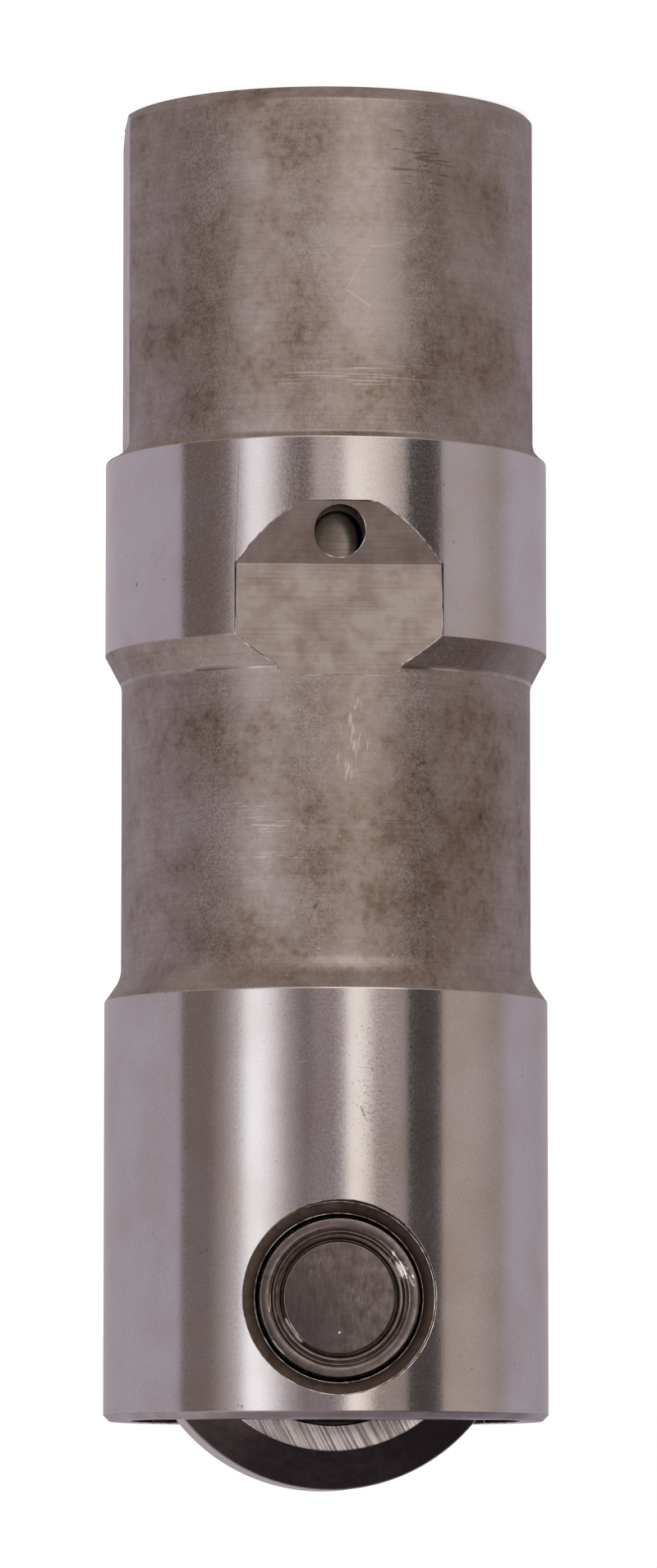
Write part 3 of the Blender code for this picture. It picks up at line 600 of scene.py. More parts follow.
SKIN_MARKS = (
    ((-4.1, -9.7, 3.3), (2.4, 2.4, 2.4), (1.1, 1.1, 0.17), 0.0, 0.24, 0.6, SKIN_FRECKLE),
    ((-3.0, -9.4, 35.3), (6.0, 6.0, 0.6), (2.0, 2.0, 0.07), 0.0, 0.2, 0.4, SKIN_FRECKLE),
    ((-3.92, -9.09, 32.3), (0.36, 0.36, 0.16), (0.3, 0.3, 0.3), -0.3, 0.6, 0.6, SKIN_PIT),
    ((-6.9, -7.1, 34.6), (0.3, 0.3, 0.3), (0.2, 0.2, 0.2), 0.0, 0.5, 0.5, SKIN_PIT),
    ((1.2, -9.83, 39.2), (0.22, 0.22, 0.24), (0.15, 0.15, 0.15), 0.0, 0.5, 0.5, SKIN_PIT),
    ((-0.2, -10.5, 13.9), (7.0, 7.0, 0.9), (2.2, 2.2, 0.07), 0.0, 0.22, 0.45, SKIN_SCUFF_AND_GLINT),
    # Real rows of dashes round the waist, painted bright only where they catch the light: partly a painted
    # glint.
    ((3.5, -9.3, 35.25), (2.6, 2.6, 0.6), (1.2, 1.2, 0.06), 0.0, 0.26, 0.65, SKIN_SCUFF_AND_GLINT),
    ((3.5, -9.3, 36.8), (2.5, 2.5, 0.45), (1.2, 1.2, 0.06), 0.0, 0.26, 0.65, SKIN_SCUFF_AND_GLINT),
    ((4.5, -8.8, 34.3), (1.4, 1.4, 0.3), (1.0, 1.0, 0.07), 0.0, 0.28, 0.6, SKIN_SCUFF_AND_GLINT),
    ((-0.6, -9.9, 31.4), (0.9, 2.0, 2.6), (0.12, 0.12, 0.8), 0.12, 0.28, 0.55, SKIN_SCUFF_AND_GLINT),
)

turned_steel, tree, shader, place = steel_material("hardened_turned_steel")
clouds, mottle = [
    add_node(
        tree, "ShaderNodeTexNoise",
        {"Vector": place, "Scale": 1 / size, "Detail": 7.0, "Roughness": breaking_up},
    ).outputs["Fac"]
    for size, breaking_up in ((SKIN_CLOUD, 0.66), (SKIN_MOTTLE, 0.7))
]
for heart, reach, gain in SKIN_PATCHES:
    away = add_node(
        tree, "ShaderNodeVectorMath", {0: place, 1: [v * MM for v in heart]}, operation="DISTANCE"
    )
    near = add_node(
        tree, "ShaderNodeMapRange",
        {"Value": away.outputs["Value"], "From Min": reach * MM, "From Max": 0.0, "To Max": gain},
    )
    clouds = add_node(
        tree, "ShaderNodeMath", {0: clouds, 1: near.outputs[0]}, operation="ADD"
    ).outputs[0]
grain = add_node(
    tree, "ShaderNodeTexNoise", {"Vector": place, "Scale": 1 / SKIN_GRAIN, "Detail": 2.0}
).outputs["Fac"]
lines = streaks(tree, place, (SKIN_LINE_RUN, SKIN_LINE_RUN, SKIN_LINE), 3.0)
stain_amount = add_node(
    tree, "ShaderNodeMath", {0: mottle, 1: SKIN_MOTTLE_SHARE, 2: clouds}, operation="MULTIPLY_ADD"
)
stained = add_node(
    tree, "ShaderNodeValToRGB", {"Fac": stain_amount.outputs[0]}, stops=SKIN_STAINS
).outputs["Color"]
freckle_amount = add_node(tree, "ShaderNodeMath", {0: mottle, 1: clouds}, operation="ADD")
freckled = add_node(
    tree, "ShaderNodeMapRange",
    {"Value": freckle_amount.outputs[0], "From Min": FRECKLE_STARTS, "From Max": FRECKLE_FULL,
     "To Max": FRECKLE_SHARE},
)
with_freckles = add_node(
    tree, "ShaderNodeMix", {"Factor": freckled.outputs[0], 6: stained, 7: linear(SKIN_FRECKLE)},
    data_type="RGBA",
).outputs[2]
lined = shaded(tree, with_freckles, lines, SKIN_LINE_SHADES, SKIN_LINE_SHARE)
sandy = shaded(tree, lined, grain, SKIN_GRAIN_SHADES, SKIN_GRAIN_SHARE)
flecks = add_node(tree, "ShaderNodeTexVoronoi", {"Vector": place, "Scale": 1 / FLECK_CELL})
fleck_chance = add_node(tree, "ShaderNodeSeparateColor", {"Color": flecks.outputs["Color"]})
fleck_size = add_node(
    tree, "ShaderNodeMapRange",
    {"Value": fleck_chance.outputs[0], "From Min": FLECK_CHANCE, "From Max": 1.0, "To Max": FLECK_REACH},
)
fleck_room = add_node(
    tree, "ShaderNodeMath", {0: fleck_size.outputs[0], 1: flecks.outputs["Distance"]}, operation="SUBTRACT"
)
flecked = add_node(
    tree, "ShaderNodeMapRange",
    {"Value": fleck_room.outputs[0], "From Max": FLECK_EDGE, "To Max": FLECK_SHARE},
)
scratch_place = add_node(
    tree, "ShaderNodeMapping", {"Vector": place, "Scale": SCRATCH_RUN, "Rotation": SCRATCH_TURN},
    vector_type="TEXTURE",
)
scratches = add_node(
    tree, "ShaderNodeTexVoronoi", {"Vector": scratch_place.outputs[0], "Scale": 1.0},
    feature="DISTANCE_TO_EDGE",
)
scratched = add_node(
    tree, "ShaderNodeMapRange",
    {"Value": scratches.outputs["Distance"], "From Min": SCRATCH_WIDTH, "From Max": 0.0,
     "To Max": SCRATCH_SHARE},
)
scratch_gaps = add_node(
    tree, "ShaderNodeMapRange",
    {"Value": clouds, "From Min": SCRATCHED_BELOW, "From Max": SCRATCHED_FULLY},
)
scratch_share = add_node(
    tree, "ShaderNodeMath", {0: scratched.outputs[0], 1: scratch_gaps.outputs[0]}, operation="MULTIPLY"
)
bright_share = add_node(
    tree, "ShaderNodeMath", {0: scratch_share.outputs[0], 1: flecked.outputs[0]}, operation="MAXIMUM"
)
with_bright = add_node(
    tree, "ShaderNodeMix", {"Factor": bright_share.outputs[0], 6: sandy, 7: linear(SKIN_SCUFF_AND_GLINT)},
    data_type="RGBA",
).outputs[2]
relief = add_node(tree, "ShaderNodeMath", {0: grain, 1: lines}, operation="ADD").outputs[0]
surfaced(
    tree, shader, marked(tree, place, with_bright, SKIN_MARKS), grain, SKIN_DULLING, SKIN_ROUGHNESS,
    relief, SKIN_HEIGHT,
)

# Every other steel is one kind of material, which differs in tone, dullness and the marks of its tool. It
# goes from its clean to its worn tone between two values, and its stains dull or polish it a little.
CLEAN_UP_TO = 0.4
WORN_FROM = 0.62
DULLED_OVER = (0.3, 0.7)
SMOOTHEST = 0.8
ROUGHEST = 1.3


def machined_steel(
    name, clean, worn, roughness, mark_axes, mark_height, cloud_size=1.6 * MM, tilt=0.0, mark_share=0.33,
    patches=(),
):
    """Steel as a cutting tool or wheel leaves it. mark_axes is how far its marks run along X, Y and Z, which
    tilt turns round Y, and mark_share is how much of its colour goes by them and not by its stains."""
    made, tree, shader, place = steel_material(name)
    marks = streaks(tree, place, mark_axes, 4.0, tilt)
    cloud = add_node(
        tree, "ShaderNodeTexNoise",
        {"Vector": place, "Scale": 1 / cloud_size, "Detail": 5.0, "Roughness": 0.62},
    ).outputs["Fac"]
    amount = add_node(tree, "ShaderNodeMix", {0: mark_share, 2: cloud, 3: marks})
    colours = add_node(
        tree, "ShaderNodeValToRGB", {"Fac": amount.outputs[0]},
        stops=[(0.0, clean), (CLEAN_UP_TO, clean), (WORN_FROM, worn), (1.0, worn)],
    )
    surfaced(
        tree, shader, marked(tree, place, colours.outputs["Color"], patches), cloud, DULLED_OVER,
        (roughness * SMOOTHEST, roughness * ROUGHEST), marks, mark_height,
    )
    return made


# The pocket keeps its milling lines, which run across the lifter under brown oil stain. The flats are
# milled bright after hardening, the bore is honed, and the drilled holes are dark brown. Edges and
# corners are rubbed brighter than what lies beside them, and the edges' near-white tone is partly a
# painted highlight.
pocket_steel = machined_steel(
    "milled_pocket_steel", "#B5ADA8", "#9C9089", 0.34, (5.0 * MM, 5.0 * MM, 0.09 * MM), 0.002 * MM,
    cloud_size=1.3 * MM, mark_share=0.3,
)
flat_steel = machined_steel(
    "milled_flat_steel", "#D0CBD2", "#BAB2B4", 0.3, (1.0 * MM, 0.12 * MM, 6.0 * MM), 0.002 * MM
)
bore_steel = machined_steel(
    "honed_bore_steel", "#A39C97", "#81766D", 0.24, (2.0 * MM, 2.0 * MM, 0.09 * MM), 0.002 * MM
)
drilled_steel = machined_steel(
    "drilled_steel", "#4F453E", "#332B26", 0.32, (0.9 * MM, 0.06 * MM, 0.9 * MM), 0.003 * MM,
    cloud_size=0.7 * MM,
)
bored_steel = machined_steel(
    "counterbored_steel", "#62564E", "#4D4239", 0.3, (0.9 * MM, 0.06 * MM, 0.9 * MM), 0.003 * MM,
    cloud_size=0.7 * MM,
)
# Painted highlight: the broken edges get a near-white tone on top of their rubbed brightness.
edge_steel = machined_steel(
    "burnished_edge_and_highlight_steel", "#F0ECEA", "#8C8079", 0.18, (0.3 * MM, 0.3 * MM, 0.3 * MM), 0.003 * MM,
    cloud_size=0.6 * MM,
)
corner_steel = machined_steel(
    "rubbed_corner_steel", "#C6BEBA", "#A3988F", 0.13, (3.0 * MM, 3.0 * MM, 0.5 * MM), 0.001 * MM
)

# Painted shade: the counterbore's floor is painted darkest round the axle, in the gap where shade falls.
PAINTED_GAP_SHADE = "#2A221D"
GAP_SHADE_STARTS = COUNTERBORE_RADIUS - 0.1 * MM
GAP_SHADE_FULL = AXLE_HOLE_RADIUS + 0.35 * MM
tree = bored_steel.node_tree
shader = tree.nodes["Principled BSDF"]
bored_colour = shader.inputs["Base Color"].links[0].from_socket
place = add_node(tree, "ShaderNodeTexCoord").outputs["Object"]
from_axle = add_node(
    tree, "ShaderNodeMapping",
    {"Vector": place, "Location": (0.0, 0.0, -AXLE_Z), "Scale": (1.0, 0.0, 1.0)},
)
away = add_node(tree, "ShaderNodeVectorMath", {0: from_axle.outputs[0]}, operation="LENGTH")
gap_shade = add_node(
    tree, "ShaderNodeMapRange",
    {"Value": away.outputs["Value"], "From Min": GAP_SHADE_STARTS, "From Max": GAP_SHADE_FULL},
)
with_gap_shade = add_node(
    tree, "ShaderNodeMix", {"Factor": gap_shade.outputs[0], 6: bored_colour, 7: linear(PAINTED_GAP_SHADE)},
    data_type="RGBA",
)
tree.links.new(with_gap_shade.outputs[2], shader.inputs["Base Color"])

fillet_rise = WAIST_FILLET * (1 - math.cos(RAMP_ANGLE))
ramp_start_z = WAIST_END_Z - (LAND_RADIUS - WAIST_RADIUS - fillet_rise) / math.tan(RAMP_ANGLE)
fillet_start_z = ramp_start_z - WAIST_FILLET * math.sin(RAMP_ANGLE)
body_outline = [
    (0.0, BORE_FLOOR_Z),
    (BORE_RADIUS - BORE_FLOOR_CHAMFER, BORE_FLOOR_Z),
    (BORE_RADIUS, BORE_FLOOR_Z - BORE_FLOOR_CHAMFER),
    (BORE_RADIUS, GROOVE_END_Z),
    (GROOVE_RADIUS, GROOVE_END_Z),
    (GROOVE_RADIUS, GROOVE_START_Z),
    (BORE_RADIUS, GROOVE_START_Z),
    (BORE_RADIUS, BORE_MOUTH_CHAMFER),
    (BORE_RADIUS + BORE_MOUTH_CHAMFER, 0.0),
    (NECK_RADIUS - OPEN_END_CHAMFER, 0.0),
    (NECK_RADIUS, OPEN_END_CHAMFER, OPEN_END_ROUND),
    (NECK_RADIUS, SHOULDER_Z, SHOULDER_ROUND),
    (LAND_RADIUS, SHOULDER_Z + SHOULDER_EDGE),
    (LAND_RADIUS, UPPER_LAND_END_Z),
    (WAIST_RADIUS, TAPER_END_Z, TAPER_ROUND),
    (WAIST_RADIUS, fillet_start_z, 0.0),
]
for step in range(1, FILLET_STEPS + 1):
    turn = RAMP_ANGLE * step / FILLET_STEPS
    rise = WAIST_FILLET * (1 - math.cos(turn))
    body_outline.append((WAIST_RADIUS + rise, fillet_start_z + WAIST_FILLET * math.sin(turn), 0.0))
body_outline += [
    (LAND_RADIUS, WAIST_END_Z),
    (LAND_RADIUS, BODY_TOP_Z - ROLLER_END_CHAMFER),
    (LAND_RADIUS - ROLLER_END_CHAMFER, BODY_TOP_Z),
    (0.0, BODY_TOP_Z),
]
blank = turned(body_outline, LATHE_STEPS)
GROUND, SKIN, HONED, FACED, EDGE, CORNER = range(6)
for face in blank.faces:
    middle = face.calc_center_median()
    radius = math.hypot(middle.x, middle.y)
    if radius > LAND_RADIUS - SAME_SURFACE:
        face.material_index = GROUND
    elif radius < GROOVE_RADIUS + SAME_SURFACE and middle.z < BORE_FLOOR_Z + EDGE_BREAK:
        face.material_index = HONED
    elif middle.z > BODY_TOP_Z - ROLLER_END_CHAMFER:
        face.material_index = FACED
    elif abs(middle.z - TAPER_END_Z) < BURNISHED_HALF_WIDTH:
        face.material_index = CORNER
    else:
        face.material_index = SKIN
lifter = loose_object(
    "body_blank", blank, ground_steel, turned_steel, bore_steel, flat_steel, edge_steel, corner_steel
)

flat_arc = [math.pi - math.pi / 2 * step / FLAT_STEPS for step in range(FLAT_STEPS + 1)]
for side in (1, -1):
    flat_path = [
        (side * (FLAT_X + FLAT_FILLET + FLAT_FILLET * math.cos(turn)),
         FLAT_END_Z - FLAT_FILLET + FLAT_FILLET * math.sin(turn))
        for turn in flat_arc
    ]
    flat_path += [
        (side * (NECK_RADIUS + REACH), FLAT_END_Z), (side * (NECK_RADIUS + REACH), -REACH),
        (side * FLAT_X, -REACH),
    ]
    cut(lifter, milled(flat_path, -LAND_RADIUS, LAND_RADIUS, "Y"), flat_steel)

outside = -LAND_RADIUS - REACH
pocket_path = [
    (outside, POCKET_STEP_Z), (-LAND_RADIUS + POCKET_STEP, POCKET_STEP_Z),
    (-LAND_RADIUS + POCKET_DEPTH, POCKET_FLOOR_Z), (-LAND_RADIUS + POCKET_DEPTH, POCKET_END_Z),
    (outside, POCKET_END_Z),
]
cut(lifter, milled(pocket_path, -LAND_RADIUS, LAND_RADIUS, "X"), pocket_steel)

hole_end = BORE_RADIUS - FEED_HOLE_RADIUS
feed_drill = [
    (0.0, outside), (FEED_HOLE_RADIUS, outside, 0.0), (FEED_HOLE_RADIUS, -hole_end, 0.0), (0.0, -hole_end)
]
cut(lifter, turned(feed_drill, DRILL_STEPS, at_z=FEED_HOLE_Z, along_y=True), drilled_steel)

slot_arc = [math.pi + math.pi * step / SLOT_STEPS for step in range(SLOT_STEPS + 1)]
slot_path = [
    (ROLLER_SLOT_RADIUS * math.cos(turn), AXLE_Z + ROLLER_SLOT_RADIUS * math.sin(turn)) for turn in slot_arc
]
slot_path += [(side * ROLLER_SLOT_RADIUS, BODY_TOP_Z + REACH) for side in (1, -1)]
slot_cutter = loose_object(
    "slot_cutter", milled(slot_path, -ROLLER_SLOT_HALF_WIDTH, ROLLER_SLOT_HALF_WIDTH, "Y"), drilled_steel
)
cheek_path = [
    (0.0, BORE_FLOOR_Z), (CHEEK_RADIUS, BORE_FLOOR_Z, 0.0), (CHEEK_RADIUS, BODY_TOP_Z + 2 * REACH, 0.0),
    (0.0, BODY_TOP_Z + 2 * REACH),
]
cut(slot_cutter, turned(cheek_path, LATHE_STEPS), drilled_steel, "INTERSECT")
slot_shape = bmesh.new()
slot_shape.from_mesh(slot_cutter.data)
bpy.data.objects.remove(slot_cutter)
cut(lifter, slot_shape, drilled_steel)

axle_path = [
    (AXLE_HOLE_RADIUS, COUNTERBORE_FLOOR - COUNTERSINK, 0.0),
    (AXLE_HOLE_RADIUS + COUNTERSINK, COUNTERBORE_FLOOR, 0.0), (COUNTERBORE_RADIUS, COUNTERBORE_FLOOR, 0.0),
    (COUNTERBORE_RADIUS, -outside, 0.0), (0.0, -outside),
]
axle_path = [(radius, -height, *rest) for radius, height, *rest in reversed(axle_path)] + axle_path
cut(lifter, turned(axle_path, LATHE_STEPS // 2, at_z=AXLE_Z, along_y=True), bored_steel)
broken_edges(lifter, steel=EDGE)
finished("lifter_barrel", lifter, "body", "ground_steel", "lifter_body", weighted=False)

# Averaged normals would bend the bands of light beside each cut, so the long turned walls take the normals
# of true cylinders and cones, and the wide milled faces take their own.
LONG_WALL = 0.3 * MM
WIDE_FACE = (2.0 * MM) ** 2
barrel = lifter.data
normals = [(0.0, 0.0, 0.0)] * len(barrel.loops)
for face in barrel.polygons:
    points = [barrel.vertices[barrel.loops[i].vertex_index].co for i in face.loop_indices]
    radii = [point.xy.length for point in points]
    heights = [point.z for point in points]
    steel = barrel.materials[face.material_index]
    length = math.hypot(max(radii) - min(radii), max(heights) - min(heights))
    if steel in (ground_steel, turned_steel) and length > LONG_WALL:
        lean = face.normal.z
        out = math.copysign(math.sqrt(max(0.0, 1 - lean * lean)), face.normal.xy.dot(face.center.xy))
        for i, point in zip(face.loop_indices, points):
            normals[i] = (*(point.xy.normalized() * out), lean)
    elif steel in (pocket_steel, flat_steel) and face.area > WIDE_FACE:
        for i in face.loop_indices:
            normals[i] = tuple(face.normal)
barrel.normals_split_custom_set(normals)

# Return spring
# Oil-tempered round wire, coiled cold, with its end turns closed up and ground flat. It sits loose
# between the bore's floor and the ball cage, and holds the plunger up against the snap ring.
CAGE_Z = 33.402 * MM
CAGE_SHEET = 0.5 * MM
SPRING_RADIUS = 6.3 * MM
SPRING_WIRE_RADIUS = 0.5 * MM
SPRING_START_Z = 34.5 * MM
SPRING_END_Z = 42.4 * MM
CLOSED_TURNS = 1.0
OPEN_TURNS = 2.25
CLOSED_PITCH = 1.1 * MM
GROUND_OFF = 0.22 * MM
TURN_STEPS = 64
WIRE_SIDES = 20


def coiled(radius, wire_radius, start_z, windings):
    """A wire wound round Z from start_z, by windings of (turns, rise for each turn)."""
    shape = bmesh.new()
    bmesh.ops.create_circle(shape, segments=WIRE_SIDES, radius=wire_radius, cap_ends=False)
    bmesh.ops.rotate(shape, verts=shape.verts, matrix=Matrix.Rotation(math.pi / 2, 3, "X"))
    bmesh.ops.translate(shape, verts=shape.verts, vec=(radius, 0.0, start_z))
    last = shape.verts[:] + shape.edges[:]
    for turns, pitch in windings:
        last = bmesh.ops.spin(
            shape, geom=last, axis=(0.0, 0.0, 1.0), cent=(0.0, 0.0, 0.0), angle=2 * math.pi * turns,
            steps=round(TURN_STEPS * turns), dvec=(0.0, 0.0, pitch / TURN_STEPS),
        )["geom_last"]
    bmesh.ops.holes_fill(shape, edges=[e for e in shape.edges if e.is_boundary], sides=WIRE_SIDES)
    bmesh.ops.recalc_face_normals(shape, faces=shape.faces)
    return shape


def ground_flat(shape, z, side):
    """Grinds a coil's end off square at height z: side 1 takes what is above it, and -1 what is below."""
    found = bmesh.ops.bisect_plane(
        shape, geom=shape.verts[:] + shape.edges[:] + shape.faces[:], plane_co=(0.0, 0.0, z),
        plane_no=(0.0, 0.0, side), clear_outer=True,
    )
    edges = [e for e in found["geom_cut"] if isinstance(e, bmesh.types.BMEdge)]
    bmesh.ops.edgeloop_fill(shape, edges=edges)


# Oil-tempered wire: grey brown and dull, with short marks along it from the drawing die.
spring_steel = machined_steel(
    "oil_tempered_spring_wire", "#8D8782", "#5F5751", 0.34, (0.9 * MM, 0.9 * MM, 0.14 * MM), 0.003 * MM
)
open_pitch = (SPRING_END_Z - SPRING_START_Z - 2 * CLOSED_TURNS * CLOSED_PITCH) / OPEN_TURNS
coil = coiled(
    SPRING_RADIUS, SPRING_WIRE_RADIUS, SPRING_START_Z,
    [(CLOSED_TURNS, CLOSED_PITCH), (OPEN_TURNS, open_pitch), (CLOSED_TURNS, CLOSED_PITCH)],
)
ground_flat(coil, SPRING_START_Z - SPRING_WIRE_RADIUS + GROUND_OFF, -1)
ground_flat(coil, SPRING_END_Z + SPRING_WIRE_RADIUS - GROUND_OFF, 1)
return_spring = loose_object("return_spring", coil, spring_steel)
finished("return_spring", return_spring, "body", "spring_wire", "plunger_spring", weighted=False)
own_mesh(return_spring)

# Check valve
# A hard bearing ball shuts the plunger's oil hole under a hair of a spring. A cup stamped from thin sheet,
# with two slots right across it for the oil, clips over both, and its flange carries the return spring.
BALL_RADIUS = 2.0 * MM
BALL_Z = 34.38 * MM
BALL_STEPS = 64
CAGE_HEIGHT = 4.9 * MM
CAGE_INNER_RADIUS = 2.8 * MM
CAGE_FLANGE_RADIUS = 6.8 * MM
CAGE_HOLE_RADIUS = 0.6 * MM
CAGE_WINDOW = 1.6 * MM
CAGE_BEND = 0.24 * MM
CHECK_RADIUS = 1.1 * MM
CHECK_WIRE_RADIUS = 0.14 * MM
CHECK_START_Z = 36.27 * MM
CHECK_END_Z = 37.61 * MM
CHECK_PITCH = 0.33 * MM
CHECK_CLOSED_TURNS = 0.75

# Lapped steel: near to a mirror, with hardly a mark.
ball_steel = machined_steel(
    "lapped_ball_steel", "#DAD8D6", "#C6C2BF", 0.07, (0.3 * MM, 0.3 * MM, 0.3 * MM), 0.0003 * MM
)
ball_shape = bmesh.new()
bmesh.ops.create_uvsphere(
    ball_shape, u_segments=BALL_STEPS, v_segments=BALL_STEPS // 2, radius=BALL_RADIUS
)
bmesh.ops.translate(ball_shape, verts=ball_shape.verts, vec=(0.0, 0.0, BALL_Z))
ball = loose_object("bearing_ball", ball_shape, ball_steel)
finished("bearing_ball", ball, "ball", "ball_steel", "check_ball")

check_shape = coiled(
    CHECK_RADIUS, CHECK_WIRE_RADIUS, CHECK_START_Z,
    [
        (CHECK_CLOSED_TURNS, CHECK_PITCH),
        (1.0, CHECK_END_Z - CHECK_START_Z - 2 * CHECK_CLOSED_TURNS * CHECK_PITCH),
        (CHECK_CLOSED_TURNS, CHECK_PITCH),
    ],
)
valve_spring = loose_object("valve_spring", check_shape, spring_steel)
finished("valve_spring", valve_spring, "plunger_group", "spring_wire", "check_spring", weighted=False)
crown_z = CAGE_Z + CAGE_HEIGHT - CAGE_SHEET
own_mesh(valve_spring)

# Stamped sheet: warm and satin, with an even fine texture from the rolls.
cage_steel = machined_steel(
    "stamped_sheet_steel", "#A39B92", "#7F756A", 0.3, (0.5 * MM, 0.5 * MM, 0.5 * MM), 0.003 * MM
)
cage_wall = CAGE_INNER_RADIUS + CAGE_SHEET
cage_shape = turned(
    [
        (CAGE_INNER_RADIUS, 0.0, CAGE_BEND), (CAGE_FLANGE_RADIUS, 0.0), (CAGE_FLANGE_RADIUS, CAGE_SHEET),
        (cage_wall, CAGE_SHEET, CAGE_BEND), (cage_wall, CAGE_HEIGHT, 2 * CAGE_BEND),
        (CAGE_HOLE_RADIUS, CAGE_HEIGHT), (CAGE_HOLE_RADIUS, CAGE_HEIGHT - CAGE_SHEET),
        (CAGE_INNER_RADIUS, CAGE_HEIGHT - CAGE_SHEET, CAGE_BEND),
    ],
    DRILL_STEPS, at_z=CAGE_Z,
)
cage = loose_object("stamped_cage", cage_shape, cage_steel)
window = [
    (-CAGE_WINDOW / 2, CAGE_Z + 2 * CAGE_SHEET), (CAGE_WINDOW / 2, CAGE_Z + 2 * CAGE_SHEET),
    (CAGE_WINDOW / 2, crown_z - CAGE_SHEET), (-CAGE_WINDOW / 2, crown_z - CAGE_SHEET),
]
for along in ("X", "Y"):
    cut(cage, milled(window, -CAGE_FLANGE_RADIUS, CAGE_FLANGE_RADIUS, along), cage_steel)
broken_edges(cage)
finished("stamped_cage", cage, "plunger_group", "cage_steel", "ball_retainer")

# Plunger
# A hollow piston of hardened steel, lapped to fit the bore within a few thousandths of a millimetre. The
# groove round it and the two cross holes let oil into the reservoir inside it.
PLUNGER_RADIUS = 8.02 * MM
PLUNGER_START_Z = 11.1 * MM
PLUNGER_END_Z = 33.302 * MM
PLUNGER_EDGE = 0.4 * MM
RESERVOIR_RADIUS = 5.82 * MM
RESERVOIR_END_Z = 29.702 * MM
OIL_GROOVE_RADIUS = 7.42 * MM
OIL_GROOVE_START_Z = 15.35 * MM
OIL_GROOVE_END_Z = 23.15 * MM
OIL_GROOVE_SLOPE = 0.6 * MM
OIL_GROOVE_ROUND = 0.2 * MM
BALL_SEAT_RADIUS = 1.45 * MM
BALL_SEAT_CHAMFER = 0.35 * MM
PLUNGER_HOLE_RADIUS = 1.0 * MM

# Lapped steel: dark and smooth, with very fine lines round it.
plunger_steel = machined_steel(
    "lapped_plunger_steel", "#8B837C", "#70665F", 0.2, (3.0 * MM, 3.0 * MM, 0.07 * MM), 0.0012 * MM
)
plunger_shape = turned(
    [
        (RESERVOIR_RADIUS, PLUNGER_START_Z),
        (PLUNGER_RADIUS - PLUNGER_EDGE, PLUNGER_START_Z),
        (PLUNGER_RADIUS, PLUNGER_START_Z + PLUNGER_EDGE),
        (PLUNGER_RADIUS, OIL_GROOVE_START_Z),
        (OIL_GROOVE_RADIUS, OIL_GROOVE_START_Z + OIL_GROOVE_SLOPE, OIL_GROOVE_ROUND),
        (OIL_GROOVE_RADIUS, OIL_GROOVE_END_Z - OIL_GROOVE_SLOPE, OIL_GROOVE_ROUND),
        (PLUNGER_RADIUS, OIL_GROOVE_END_Z),
        (PLUNGER_RADIUS, PLUNGER_END_Z - PLUNGER_EDGE),
        (PLUNGER_RADIUS - PLUNGER_EDGE, PLUNGER_END_Z),
        (BALL_SEAT_RADIUS + BALL_SEAT_CHAMFER, PLUNGER_END_Z),
        (BALL_SEAT_RADIUS, PLUNGER_END_Z - BALL_SEAT_CHAMFER),
        (BALL_SEAT_RADIUS, RESERVOIR_END_Z),
        (RESERVOIR_RADIUS - PLUNGER_EDGE, RESERVOIR_END_Z),
        (RESERVOIR_RADIUS, RESERVOIR_END_Z - PLUNGER_EDGE),
    ],
    LATHE_STEPS // 2,
)
piston = loose_object("lapped_piston", plunger_shape, plunger_steel)
cross_drill = turned(
    [
        (0.0, outside), (PLUNGER_HOLE_RADIUS, outside, 0.0), (PLUNGER_HOLE_RADIUS, -outside, 0.0),
        (0.0, -outside),
    ],
    DRILL_STEPS // 2, along_y=True,
)
bmesh.ops.rotate(cross_drill, verts=cross_drill.verts, matrix=Matrix.Rotation(math.pi / 2, 3, "Z"))
cross_z = (OIL_GROOVE_START_Z + OIL_GROOVE_END_Z) / 2
bmesh.ops.translate(cross_drill, verts=cross_drill.verts, vec=(0.0, 0.0, cross_z))
cut(piston, cross_drill, drilled_steel)
broken_edges(piston)
finished("lapped_piston", piston, "plunger_group", "plunger_steel", "plunger")

# Metering disc and pushrod cup
# The disc is blanked from spring strip and lies loose under the cup, where it meters the oil that goes up
# the pushrod. The cup is turned and case-hardened, and its socket is polished by the pushrod's ball end.
SEAT_Z = 4.2 * MM
SEAT_LENGTH = 6.8 * MM
SEAT_EDGE = 0.4 * MM
SOCKET_RADIUS = 4.0 * MM
SOCKET_STRAIGHT = 1.0 * MM
SOCKET_CHAMFER = 0.6 * MM
SOCKET_STEPS = 24
SEAT_HOLE_RADIUS = 0.7 * MM
DISC_POCKET_RADIUS = 4.2 * MM
DISC_POCKET_Z = 6.0 * MM
DISC_RADIUS = 4.0 * MM
DISC_THICKNESS = 0.4 * MM
DISC_PLAY = 0.2 * MM

# Rolled strip: pale and satin, with the straight lines of the rolls.
disc_steel = machined_steel(
    "blanked_strip_steel", "#B9B5B0", "#9A928A", 0.26, (0.08 * MM, 3.0 * MM, 3.0 * MM), 0.0015 * MM
)
disc_shape = turned(
    [(0.0, 0.0), (DISC_RADIUS, 0.0), (DISC_RADIUS, DISC_THICKNESS), (0.0, DISC_THICKNESS)], DRILL_STEPS,
    at_z=SEAT_Z + DISC_POCKET_Z + DISC_PLAY,
)
finished(
    "oil_disc", loose_object("oil_disc", disc_shape, disc_steel), "plunger_group", "disc_steel",
    "metering_disc",
)

